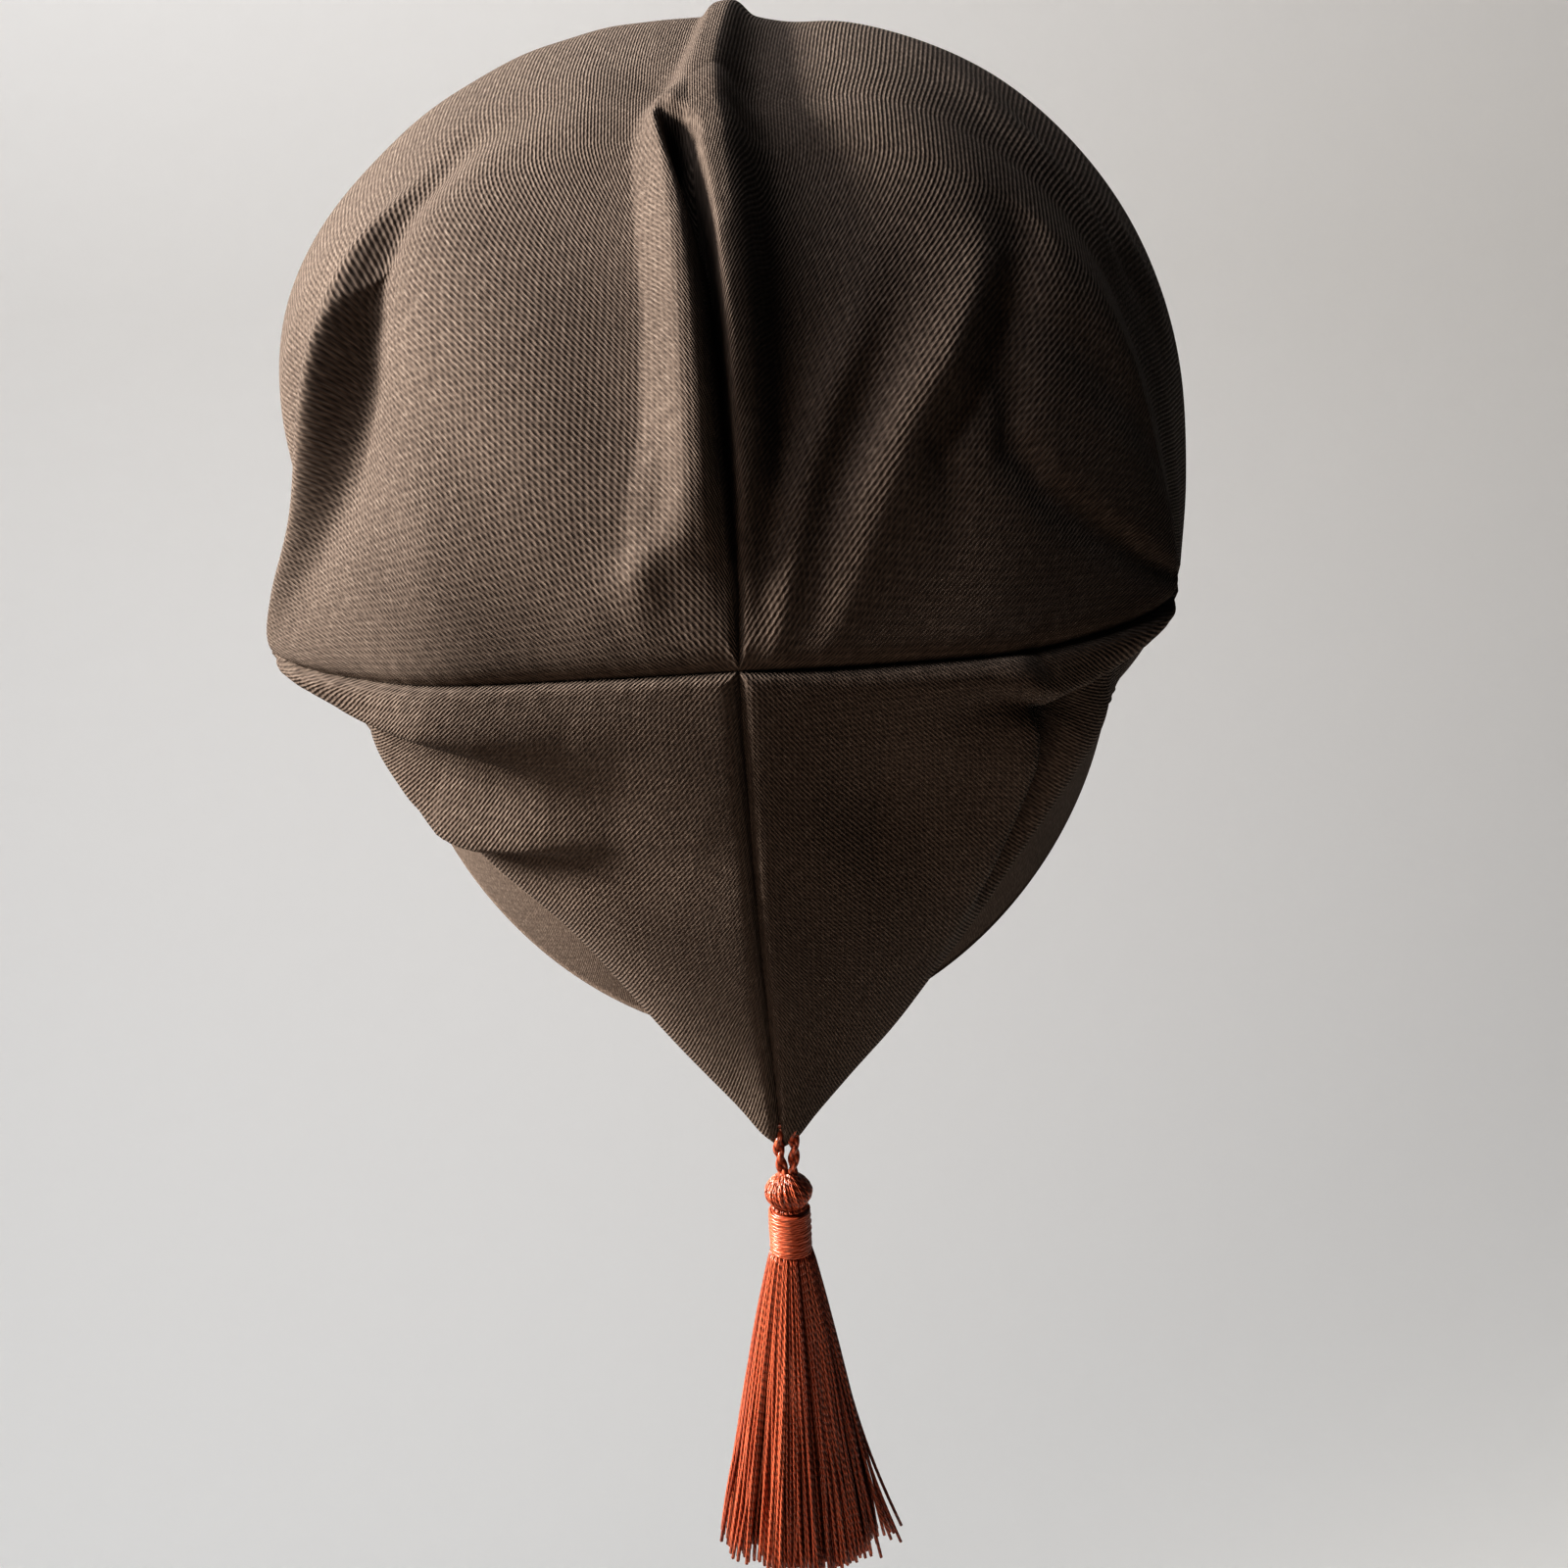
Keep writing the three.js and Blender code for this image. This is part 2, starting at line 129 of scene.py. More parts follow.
def jerseyMaterial(name, look, ribs):
    # ribs is the share of the ribs' depth, and of the painted shade in their grooves, that shows
    material, tree = newMaterial(name)
    place = addNode(tree, "UVMap", {"uv_map": "weave"}).outputs["UV"]
    # the wave node's bands are 2 pi / 20 apart at scale 1, so this scale gives one band to a rib
    rib = addNode(tree, "TexWave", {"bands_direction": "X"},
                  {"Scale": 2 * math.pi / (20 * look["rib"]), "Distortion": 0.5, "Detail": 2.0,
                   "Detail Scale": 0.6, "Detail Roughness": 0.6}, {"Vector": place})
    # stitches slant across the rib
    slanted = addNode(tree, "Mapping", {}, {"Rotation": (0, 0, math.radians(look["slant"]))},
                      {"Vector": place})
    stitch = addNode(tree, "TexWave", {"bands_direction": "Y"},
                     {"Scale": 2 * math.pi / (20 * look["stitch"]), "Distortion": 1.2, "Detail": 1.0,
                      "Detail Scale": 0.8}, {"Vector": slanted.outputs["Vector"]})
    # yarn is drawn out along the ribs, so its noise is squeezed across them
    drawn = addNode(tree, "Mapping", {}, {"Scale": (1 / look["yarn"], 1 / look["yarnLength"], 1.0)},
                    {"Vector": place})
    yarn = addNode(tree, "TexNoise", {}, {"Scale": 1.0, "Detail": 2.0, "Roughness": 0.6},
                   {"Vector": drawn.outputs["Vector"]})
    patch = addNode(tree, "TexNoise", {}, {"Scale": 1 / look["patch"], "Detail": 3.0}, {"Vector": place})
    tone = addNode(tree, "MapRange", {}, {"From Min": 0.3, "From Max": 0.7},
                   {"Value": patch.outputs["Fac"]})
    body = addNode(tree, "Mix", {"data_type": "RGBA"},
                   {6: linear(look["dark"]), 7: linear(look["light"])}, {0: tone.outputs["Result"]})
    # some stretches of the yarn are paler and some deeper
    for colour, least, most, share in (("pale", 0.5, 0.85, 0.7), ("deep", 0.5, 0.2, 0.8)):
        part = addNode(tree, "MapRange", {}, {"From Min": least, "From Max": most, "To Max": share},
                       {"Value": yarn.outputs["Fac"]})
        body = addNode(tree, "Mix", {"data_type": "RGBA"}, {7: linear(look[colour])},
                       {0: part.outputs["Result"], 6: body.outputs[2]})
    # the stitches and the yarn's thick places stand on the rib
    height = addNode(tree, "Math", {"operation": "MULTIPLY_ADD"}, {1: look["stitchRise"]},
                     {0: stitch.outputs["Fac"], 2: rib.outputs["Fac"]})
    height = addNode(tree, "Math", {"operation": "MULTIPLY_ADD"}, {1: look["yarnRise"]},
                     {0: yarn.outputs["Fac"], 2: height.outputs[0]})
    # painted shade: the low places between ribs and stitches are darkened towards the groove shade colour
    low = addNode(tree, "MapRange", {},
                  {"From Min": 0.15, "From Max": 0.95, "To Min": look["paintedGrooveShadeShare"] * ribs, "To Max": 0.0},
                  {"Value": height.outputs[0]})
    body = addNode(tree, "Mix", {"data_type": "RGBA"}, {7: linear(look["paintedGrooveShade"])},
                   {0: low.outputs["Result"], 6: body.outputs[2]})
    rough = addNode(tree, "MapRange", {}, {"To Min": 0.84, "To Max": 0.98}, {"Value": yarn.outputs["Fac"]})
    relief = addNode(tree, "Bump", {}, {"Strength": 1.0, "Distance": look["relief"] * ribs},
                     {"Height": height.outputs[0]})
    shader = addNode(tree, "BsdfPrincipled", {},
                     {"Specular IOR Level": 0.15, "Sheen Weight": 0.06, "Sheen Roughness": 0.5,
                      "Sheen Tint": linear(look["sheen"])},
                     {"Base Color": body.outputs[2], "Roughness": rough.outputs["Result"],
                      "Normal": relief.outputs["Normal"]})
    addNode(tree, "OutputMaterial", {}, {}, {"Surface": shader.outputs["BSDF"]})
    return material


# Viscose tassel thread, two plies twisted: silky and bright on the plies' backs, with painted shade darkening
# the turns between them, which lie 0.8 mm apart, and each strand a little lighter or darker than the next.
silkThread = {"paintedGrooveShade": "#4d1d12", "dark": "#873c25", "light": "#c46d4e", "turns": 1.6, "relief": 0.0001,
              "sheen": "#f0b48c", "rough": 0.34, "shine": 0.55}


def threadMaterial(name, look):
    material, tree = newMaterial(name)
    shade = addNode(tree, "Attribute", {"attribute_name": "shade"}).outputs["Fac"]
    place = addNode(tree, "UVMap", {"uv_map": "weave"}).outputs["UV"]
    # once round the strand is two turns, and diagonal bands are 2 pi / 10 apart at scale 1
    wound = addNode(tree, "Mapping", {}, {"Scale": (0.4 * math.pi, 0.2 * math.pi / look["turns"], 1.0)},
                    {"Vector": place})
    twist = addNode(tree, "TexWave", {"bands_direction": "DIAGONAL"},
                    {"Scale": 1.0, "Distortion": 0.0}, {"Vector": wound.outputs["Vector"]})
    body = addNode(tree, "Mix", {"data_type": "RGBA"},
                   {6: linear(look["dark"]), 7: linear(look["light"])}, {0: shade})
    # painted shade: where the twist dips between the plies the colour goes towards the groove shade
    deep = addNode(tree, "MapRange", {}, {"From Min": 0.0, "From Max": 0.6, "To Min": 0.8, "To Max": 0.0},
                   {"Value": twist.outputs["Fac"]})
    body = addNode(tree, "Mix", {"data_type": "RGBA"}, {7: linear(look["paintedGrooveShade"])},
                   {0: deep.outputs["Result"], 6: body.outputs[2]})
    relief = addNode(tree, "Bump", {}, {"Strength": 1.0, "Distance": look["relief"]},
                     {"Height": twist.outputs["Fac"]})
    shader = addNode(tree, "BsdfPrincipled", {},
                     {"Specular IOR Level": look["shine"], "Roughness": look["rough"], "Sheen Weight": 0.1,
                      "Sheen Roughness": 0.3, "Sheen Tint": linear(look["sheen"])},
                     {"Base Color": body.outputs[2], "Normal": relief.outputs["Normal"]})
    addNode(tree, "OutputMaterial", {}, {}, {"Surface": shader.outputs["BSDF"]})
    return material


# The cloth as rings, from the middle of the cross seam over the four-cornered end to its edge, on over the
# head to the band, and last the opening's lower edge. Each ring has its point on the upper arm (top), its half
# width about midX at the sides, its point on the lower arm (low), how round each quarter is, and how the
# lower quarters sag and lag and the upper ones swell.
cap = {
    "arm": 100.0, "wall": 1.5, "seamTurn": 0.05, "bandClear": 0.003,
    "columns": "topX topY topZ midX sideX sideY sideZ lowX lowY lowZ upL upR lowL lowR sag lag swell".split(),
    "rings": np.array([
        [-3, -118, 29.4, -3, 0, -118, 29.4, -3, -118, 29.4, 2, 2, 1.3, 1.3, 0, 1, 0],
        [-4, -103, 61, -3.5, 27.2, -114.6, 28, -1.5, -118.7, -1.4, 2, 2, 1.3, 1.3, 0, 1, 0],
        [-5, -80.6, 86.4, -4, 54.3, -108, 26, 0, -112, -32, 2.12, 2.4, 1.25, 1.25, 0, 1, 0],
        [-6, -51, 105.4, -4.5, 76.8, -86, 24, 1.4, -98, -64, 2.16, 2.6, 1, 1.1, 0, 1, 0],
        [-6, -38, 111, -3, 77, -68, 24.5, 0, -102, -30, 2.18, 2.6, 1.05, 1.12, 8, 1.1, 0],
        [-5, -20, 115.5, -2.5, 80, -56, 23.5, 0, -104, -2, 2.35, 2.6, 1.06, 1.12, 13, 1.35, 2],
        [-3, 14, 118.5, -1.5, 80.5, -46, 22.5, 0, -103, 9, 2.5, 2.65, 1.15, 1.18, 14, 1.6, 5.5],
        [-1, 45, 113, -1.2, 80.5, -35, 22, 0, -100, 3, 2.6, 2.6, 1.3, 1.3, 14, 1.7, 7],
        [0, 69, 96, -0.8, 79.5, -20, 22, 0, -94.5, -15, 2.5, 2.5, 1.6, 1.6, 8, 1.3, 6],
        [0, 78, 72, -0.4, 76, -5.5, 18, 0, -89, -36, 2.2, 2.2, 1.8, 1.8, 0, 1, 0],
        [0, 79, 53, 0, 71.5, 0, 0, 0, -79, -53, 2.15, 2.15, 1.85, 1.85, 0, 1, 0],
    ]),
    "edgeRow": 3, "bandRow": 9,
    "rimEdge": 0.09, "rimTip": 0.05, "rimSides": 0.06, "behind": 0.1, "behindSides": 0.1,
    "lowerFrom": -0.25, "foldEnd": 1.06, "crossX": 1.5, "crossZ": 0.4,
    "leftRise": 2.0, "rightRise": 5.4, "leftOut": 0.2, "rightOut": 1.0, "riseEnd": 1.7,
    # where the edge is drawn in or stands out: how far, at what share of the way from the side to the upper or
    # lower arm, over what half width, how much nearer to the side behind the edge, and the fade at the arm
    "pinch": {"depth": 4.6, "at": 0.25, "half": 0.13, "shift": 0.1, "clear": 0.1},
    "bulge": {"depth": 2.9, "at": 0.52, "half": 0.15, "shift": 0.16},
    "lowPinch": {"depth": 4.6, "at": 0.1, "half": 0.08, "shift": 0, "clear": 0.06},
    "lowDraw": {"depth": 3.6, "at": 0.55, "half": 0.2, "shift": 0, "clear": 0.3},
    "drawFrom": 0.6, "shiftEnd": 1.35, "tubeFade": (1.6, 2), "flapFade": (1, 1.2),
}

# Folds and seam grooves as lines on the chart of the cloth, in millimetres from the middle of the cross: u
# to the right arm, v to the upper arm. A line's points are (u, v), or (u, v, lift, left, right) where its
# height and its half widths on the left and the right change along it. A shape of 2 is a bell across the
# line, 1 a sharp crease, and more than 2 has a flatter top. Of the seams only the deepest counts at a place.
folds = {
    "leftSeam": {"line": [(-99, 0), (0, 0)],
        "lift": -2.5, "left": 1.5, "right": 0.7, "shape": 1.2, "seam": True},
    "rightSeam": {"line": [(0, 0), (99, 0)],
        "lift": -2.6, "left": 1.3, "right": 0.7, "shape": 1.2, "seam": True},
    "lowerSeam": {"line": [(0, 0), (0, -97)],
        "lift": -2.2, "left": 0.8, "right": 1.1, "shape": 1.2, "seam": True},
    "upperSeam": {"line": [(0, 0), (1.5, 11.5), (2, 26), (2.3, 42), (2, 56)],
        "lift": -1.9, "left": 0.8, "right": 0.7, "shape": 1.2, "seam": True},
    "ridge": {"line": [(5.5, 26, 1.6, 2.4, 3.6), (5.6, 42, 3.6, 2.8, 4.4), (5.6, 56, 4.6, 3, 4.8),
        (5.2, 70, 5, 3.4, 5), (4.2, 82, 5.2, 4.4, 5.4), (3.2, 92, 5.4, 6.4, 6.4),
        (2.8, 101, 5.4, 7.4, 7.4), (3.4, 113, 5, 7, 7.2), (4.4, 126, 4, 6.4, 6.8),
        (5.4, 140, 3.1, 6, 6.6), (5.9, 154, 2.2, 6, 6.8), (6.2, 172, 1, 6, 7)], "shape": 4},
    "roll": {"line": [(-4.6, 13, 0.8, 3, 3), (-4.4, 20, 3.2, 3.4, 3.8), (-3.9, 30, 4.8, 3.7, 4.2),
        (-3.5, 42, 5.4, 3.8, 4.4), (-3.4, 56, 5.6, 3.8, 4.2), (-3.9, 70, 5.6, 3.6, 3.4),
        (-5, 81, 5.4, 2.8, 2.4), (-5.9, 88, 5.2, 2.4, 1.9), (-5, 94, 4.6, 3, 2.8)], "shape": 2.6},
    "roof": {"line": [(-1, 34, 0.8, 22, 22), (0, 50, 2.6, 25, 25), (0.6, 66, 4.2, 28, 28),
        (1, 82, 4.4, 28, 28), (1.6, 96, 3, 26, 26), (2.4, 110, 0.8, 24, 24)]},
    "hollow": {"line": [(1.6, 18, -1.4, 0.9, 0.8), (2, 28, -3, 0.9, 0.9), (2.3, 42, -4.6, 1, 1),
        (2.2, 54, -5.6, 1.1, 1), (1.8, 66, -6.6, 1.5, 1.2), (0.2, 76, -7.6, 2.4, 1.7),
        (-1.6, 83, -8.4, 2.9, 2.4), (-2.3, 87.5, -8.4, 3, 3)], "shape": 3},
    "rollFoot": {"line": [(-18, 8.5, 0.3, 3, 4), (-12, 11.2, 1.5, 2.4, 4), (-8.4, 14.6, 1.8, 2, 3.6),
        (-6.4, 20, 0.6, 2, 3)]},
    "rollShade": {"line": [(-14, 19, -1.2, 9, 2.2), (-12, 30, -2.6, 11, 2.2), (-11, 50, -3.2, 12, 2.2),
        (-11.4, 72, -3.2, 12, 2.2), (-12, 90, -2.4, 10, 2.8), (-9, 108, -1, 8, 3)]},
    "wedge": {"line": [(5, 9, -0.8, 2, 3), (8, 18, -3, 3, 5), (11, 31, -5, 3.4, 8),
        (13, 47, -6, 4, 11), (14.5, 68, -6, 4.4, 13), (15.5, 90, -5, 4.6, 13),
        (17, 118, -3, 6, 12)]},
    "leftRidge": {"line": [(-96, 3, 0.2, 4, 2), (-90, 9, 0.8, 5, 2), (-83, 15.5, 1.4, 6, 2),
        (-75.5, 22.5, 2.2, 6, 2), (-68, 29, 2.8, 6, 2), (-62, 35, 3.2, 6, 2),
        (-57.5, 41, 3.4, 6, 2), (-54.5, 46.5, 3.2, 6.5, 2.1), (-53, 53, 2.8, 7, 2.4),
        (-51.5, 60, 2, 7, 2.8), (-49, 72, 1, 7, 3)]},
    "leftValley": {"line": [(-83, 9, -0.6, 3, 4), (-73.5, 17, -1.6, 3, 5), (-66.5, 23.5, -3, 3.4, 6),
        (-60, 29.5, -4.2, 3.6, 7), (-54.5, 35, -4.8, 3.6, 7), (-51.5, 39.5, -4.8, 3.6, 7),
        (-49, 45, -4, 3.6, 6), (-48, 52, -2.4, 3.6, 6), (-46.5, 62, -0.9, 4, 6)]},
    "leftBasin": {"line": [(-68, 20, -1.4, 4.4, 14), (-57, 29, -3, 4.6, 18), (-51, 37, -3.4, 4.6, 20),
        (-47.5, 45, -2.4, 4.6, 16), (-45, 58, -0.8, 5, 12)]},
    "leftSwell": {"line": [(-46, 16), (-40, 34), (-36, 54)], "lift": 1, "left": 8, "right": 10},
    "fanRidge": {"line": [(7, 7, 0.8, 2, 2.4), (11.5, 20, 2, 3, 3), (17, 31.5, 2, 3.4, 3),
        (25, 43, 0.8, 4, 3)]},
    "fanValley": {"line": [(12, 11, -0.8, 2, 3), (16.5, 20.5, -2.2, 3, 3), (20.5, 28, -2.4, 3, 3.4),
        (27, 44, -1.2, 3, 4)]},
    "broadRidge": {"line": [(18, 9, 0.8, 3, 4), (26, 25, 2, 4, 4.4), (33, 33, 2.6, 4, 3.6),
        (38.5, 41, 1.8, 4, 3)]},
    "tentLeft": {"line": [(43.5, 46, -1, 3, 3), (40.5, 39.5, -2.6, 2.6, 2.6),
        (35.5, 29, -2.6, 2.6, 2.8), (31.5, 24, -1.8, 2.6, 3), (33, 18, -0.8, 3, 3)]},
    "tentRight": {"line": [(43.5, 45, -1.4, 4, 4), (41.5, 32, -2.6, 3.6, 3.2), (42.5, 24.5, -2.4, 2.4, 3),
        (50, 20, -2, 1.6, 2.6), (66, 14, -1.7, 1.3, 2.4), (80.5, 8.5, -1.4, 1.1, 2),
        (93, 4.5, -0.8, 1, 1.5)]},
    "farValley": {"line": [(46.5, 37, -0.6, 3, 3), (58, 30.5, -1.6, 4, 3), (69, 25.5, -1.6, 4, 3),
        (82, 18.5, -0.6, 3, 3)]},
    "sideRidge": {"line": [(52, 88, 0.6, 4, 5), (57.5, 79, 1.4, 4, 5), (63, 66, 1.8, 4, 5),
        (72, 54, 1.4, 4, 5)]},
    "sideDip": {"line": [(66, 72, -0.6, 3, 4), (73, 62, -1.4, 3, 4), (84, 50, -1, 3, 4)]},
    "sideRidge2": {"line": [(76, 62, 0.4, 3, 3), (83, 55, 1.4, 3, 3), (92, 48, 1.4, 3, 3),
        (99, 42, 0.6, 3, 3)]},
    "tipBulk": {"line": [(0, -93), (0, -99)], "lift": 1.3, "left": 6, "right": 6},
    "leftRoll": {"line": [(-93, -2, 0.2, 2, 2), (-80, -4.6, 1.2, 3, 2.6), (-68, -6, 2.8, 4, 2.6),
        (-57, -7.4, 3.6, 5, 2.6), (-46, -9, 3, 6, 3.2), (-30, -9, 1.2, 6, 5)]},
    "leftHollow": {"line": [(-82, -10, -2.4, 2.2, 5), (-70, -12.4, -5.2, 2.4, 7),
        (-58, -14.4, -6.4, 2.4, 9), (-46, -17, -5, 2.8, 9), (-34, -18.5, -2.2, 3.6, 8)]},
    "leftCrest": {"line": [(-66, -26, 1, 5, 2), (-60, -28.4, 2.4, 6, 2.2), (-49, -28.6, 2.9, 7, 2.2),
        (-39, -28, 2.7, 7, 2.4), (-31, -27, 1.8, 7, 3), (-22, -27, 0.6, 7, 4)]},
    "leftUnder": {"line": [(-54, -33.5, -0.8, 2, 4), (-46, -32.4, -2.2, 2.2, 5),
        (-37, -31.6, -2.2, 2.4, 6), (-27, -30.6, -0.8, 3, 6)]},
    "leftDip": {"line": [(-38, -22, -0.8, 8, 8), (-24, -25, -1.8, 9, 10), (-10, -30, -0.8, 8, 9)]},
    "rightDip": {"line": [(12, -20, -0.8, 8, 12), (24, -22, -3.4, 10, 14), (38, -24, -2.2, 9, 12)]},
    "rightRoll": {"line": [(14, -3, 0.5, 2, 4), (34, -3.4, 1.6, 2.6, 4), (47, -3.4, 2.2, 2.6, 3),
        (55, -4.2, 2.8, 3, 2.6), (61, -6.4, 3.6, 4, 3.4), (69, -5.8, 3.6, 4, 3), (81, -3.4, 2.6, 3, 2.2),
        (93, -1.8, 0.8, 2, 2)]},
    "rightHook": {"line": [(44, -9.5, -0.5, 2, 3), (50.5, -8.4, -1.8, 1.6, 2.4),
        (55.4, -9.6, -2.8, 1.6, 2), (58, -13, -3.2, 1.8, 2)]},
    "rightPocket": {"line": [(84, -7.5, -0.8, 4, 2), (72, -10, -3.5, 5, 2.4), (62.5, -13.5, -8, 5, 2.6),
        (58.5, -18.5, -11, 4.6, 2.6), (56, -24.5, -10.5, 4.2, 2.6), (52.5, -32, -7.5, 4, 2.8),
        (47.5, -40, -3, 4, 3), (43, -46, -0.6, 4, 3)]},
    "rightCrest": {"line": [(56, -5, 1, 2.4, 5), (54.5, -12, 3, 2.2, 7), (52.5, -19, 3.8, 2.2, 8),
        (49.5, -27, 3.4, 2.4, 9), (45.5, -35.5, 2.4, 2.8, 9), (40, -44, 0.8, 3, 8)]},
}


def ringValues(place):
    # every column of the rings on a smooth curve between rows: a cubic whose slope at a row is the mean of
    # the steps before and after it, but at most twice the smaller step
    table = cap["rings"]
    i = np.clip(np.floor(place).astype(int), 0, len(table) - 2)
    t = (place - i)[:, None]
    a, b, c, d = table[np.maximum(i - 1, 0)], table[i], table[i + 1], table[np.minimum(i + 2, len(table) - 1)]
    step = c - b
    before, after = np.where(a == b, step, b - a), np.where(d == c, step, d - c)

    def slope(x, y):
        most = 2 * np.minimum(np.abs(x), np.abs(y))
        return np.clip((x + y) / 2, -most, most)

    start, stop = slope(before, step), slope(step, after)
    values = b + t * start + t * t * (3 * step - 2 * start - stop) + t ** 3 * (start + stop - 2 * step)
    return dict(zip(cap["columns"], values.T))


def clothBase(u, v):
    # the cloth without folds at chart places in arms: the ring at that reach, and on it a quarter of an oval
    # whose roundness, sag, lag and swell the ring gives
    reach = np.abs(u) + np.abs(v)
    edge, tube = cap["edgeRow"], cap["bandRow"] - cap["edgeRow"]
    ring = ringValues(np.where(reach < 1, reach * edge, edge + (reach - 1) * tube))
    still = reach < 1e-9
    du = np.where(still, 0, u) / np.where(still, 1, reach)
    dv = np.where(still, 1, v / np.where(still, 1, reach))
    low, left = dv < 0, du < 0
    roundness = np.where(low, np.where(left, ring["lowL"], ring["lowR"]),
                         np.where(left, ring["upL"], ring["upR"]))
    far = (np.abs(du) ** roundness + np.abs(dv) ** roundness) ** (-1 / roundness)
    along = np.clip(np.abs(dv) * far, 0, 1)
    endX, endY, endZ = (np.where(low, ring["low" + k], ring["top" + k]) for k in "XYZ")
    sag, lag = np.where(low, ring["sag"], 0), np.where(low, ring["lag"], 1)
    swell = np.where(low, 0, ring["swell"]) * 4 * along * (1 - along)
    droop = (256 / 27) * along * (1 - along) ** 3
    # the two corners stand a little higher than the rings have them, and the cross a little aside
    fade = np.where(reach < 1, reach ** 2, 1 - smooth(1, cap["riseEnd"], reach))
    rise = fade * (du * far) ** 2 * np.where(left, cap["leftRise"], cap["rightRise"])
    out = fade ** 3 * (du * far) ** 12 * np.where(left, -cap["leftOut"], cap["rightOut"])
    inner = np.maximum(1 - reach, 0) ** 2
    # the upper left of the edge is drawn in above its corner and stands out further up, and below the corners
    # the flap's edge is drawn in too: each a bell about its place, which fades out before and behind the edge
    share = np.abs(dv)
    down = smooth(1, cap["shiftEnd"], reach)

    def bell(draw):
        return draw["depth"] * np.exp(-((share - draw["at"] + draw["shift"] * down) / draw["half"]) ** 2)

    pinch, lowPinch, lowDraw = cap["pinch"], cap["lowPinch"], cap["lowDraw"]
    upper = bell(pinch) * smooth(0, pinch["clear"], share) - bell(cap["bulge"])
    lower = bell(lowPinch) * smooth(0, lowPinch["clear"], share)
    lower = lower + np.where(left, bell(lowDraw), 0) * smooth(0, lowDraw["clear"], 1 - share)
    behind = np.where(low, smooth(*cap["flapFade"], reach), smooth(*cap["tubeFade"], reach))
    shown = np.where(reach < 1, smooth(cap["drawFrom"], 1, reach), 1 - behind)
    drawn = np.where(low, lower, np.where(left, upper, 0)) * shown / np.hypot(du, dv)
    return np.stack([
        ring["midX"] + (ring["sideX"] + swell) * du * far + (endX - ring["midX"]) * along
        + cap["crossX"] * inner + out - drawn * du,
        ring["sideY"] + (endY - ring["sideY"]) * along ** lag,
        ring["sideZ"] + (endZ - ring["sideZ"]) * along - sag * droop
        + rise + cap["crossZ"] * inner - drawn * dv,
    ], -1)


def lowerShare(u, v):
    # how far a direction belongs to the lower half, where the cloth doubles back behind the flap
    return smooth(cap["lowerFrom"], 0, -v / np.maximum(np.abs(u) + np.abs(v), 1e-9))


def foldHeight(u, v):
    # the sum of the folds and the deepest seam: across the nearest stretch of each line a bell with the height
    # and widths of that place, which fades past the line's two ends
    x, y = u * cap["arm"], v * cap["arm"]
    height, seam = np.zeros_like(u), np.zeros_like(u)
    for fold in folds.values():
        same = [fold.get("lift", 0), fold.get("left", 0), fold.get("right", 0)]
        rows = np.array([[*point, *same[len(point) - 2:]] for point in fold["line"]], float)
        best, across, past = np.full(u.shape, 1e9), np.zeros_like(u), np.zeros_like(u)
        here = np.zeros((3, *u.shape))
        for k in range(len(rows) - 1):
            start, way = rows[k, :2], rows[k + 1, :2] - rows[k, :2]
            length = np.hypot(*way)
            along = ((x - start[0]) * way[0] + (y - start[1]) * way[1]) / length
            aside = ((y - start[1]) * way[0] - (x - start[0]) * way[1]) / length
            over = np.where(along < 0, -along, np.maximum(along - length, 0))
            apart = aside ** 2 + over ** 2
            nearer = apart < best
            outer = (along < 0) & (k == 0) | (along > length) & (k == len(rows) - 2)
            best = np.where(nearer, apart, best)
            across = np.where(nearer, np.where(outer, aside, np.sign(aside) * np.sqrt(apart)), across)
            past = np.where(nearer, np.where(outer, over, 0), past)
            share = np.clip(along / length, 0, 1)
            here = np.where(nearer, rows[k, 2:, None] + (rows[k + 1, 2:] - rows[k, 2:])[:, None] * share, here)
        lift, left, right = here
        bell = np.abs(across / np.where(across > 0, left, right)) ** fold.get("shape", 2)
        here = lift * np.exp(-bell - (past / (left + right)) ** 2)
        if fold.get("seam"):
            seam = np.minimum(seam, here)
        else:
            height += here
    return height + seam


# Small unevenness of worn cloth: gathers beside the seams and shallow waves all over, in millimetres.
wear = {"gather": 0.06, "gatherWidth": 3.0, "gatherLength": 5.2, "wave": 0.16, "waveLength": 30.0,
        "endFade": (92, 104), "waveWays": ((0.3, 0.0), (1.2, 2.1), (2.0, 4.0), (2.7, 1.0), (0.8, 5.2))}


def wearHeight(u, v):
    # gathers are ripples along a seam that die out beside it; the waves are five crossed sines
    x, y = u * cap["arm"], v * cap["arm"]
    reach = np.abs(x) + np.abs(y)
    onEnd = 1 - smooth(*wear["endFade"], reach)
    ripple = np.zeros_like(u)
    for aside, along, turn in ((x, y, 0.0), (y, x, 1.3)):
        phase = 2 * math.pi * along / wear["gatherLength"]
        beside = np.exp(-(aside / wear["gatherWidth"]) ** 2)
        ripple += beside * (np.sin(phase + turn) + 0.6 * np.sin(1.73 * phase + 2))
    waves = np.zeros_like(u)
    for k, (angle, turn) in enumerate(wear["waveWays"]):
        pitch = wear["waveLength"] * (0.7 + 0.22 * k)
        waves += np.sin(2 * math.pi * (x * math.cos(angle) + y * math.sin(angle)) / pitch + turn)
    return wear["gather"] * ripple * onEnd + wear["wave"] * waves / 3


def outward(u, v):
    # the way the bare cloth faces; close to a seam it turns to the seam's own way
    step = 0.004

    def normal(a, b):
        right = clothBase(a + step, b) - clothBase(a - step, b)
        return unit(np.cross(right, clothBase(a, b + step) - clothBase(a, b - step)))

    zero = np.zeros_like(u)
    way = normal(u, v)
    way = mix(way, normal(u, zero), 1 - smooth(0, cap["seamTurn"], np.abs(v)))
    way = mix(way, normal(zero, v), 1 - smooth(0, cap["seamTurn"], np.abs(u)))
    return unit(mix(way, normal(zero, zero), 1 - smooth(0, 1.5 * cap["seamTurn"], np.abs(u) + np.abs(v))))


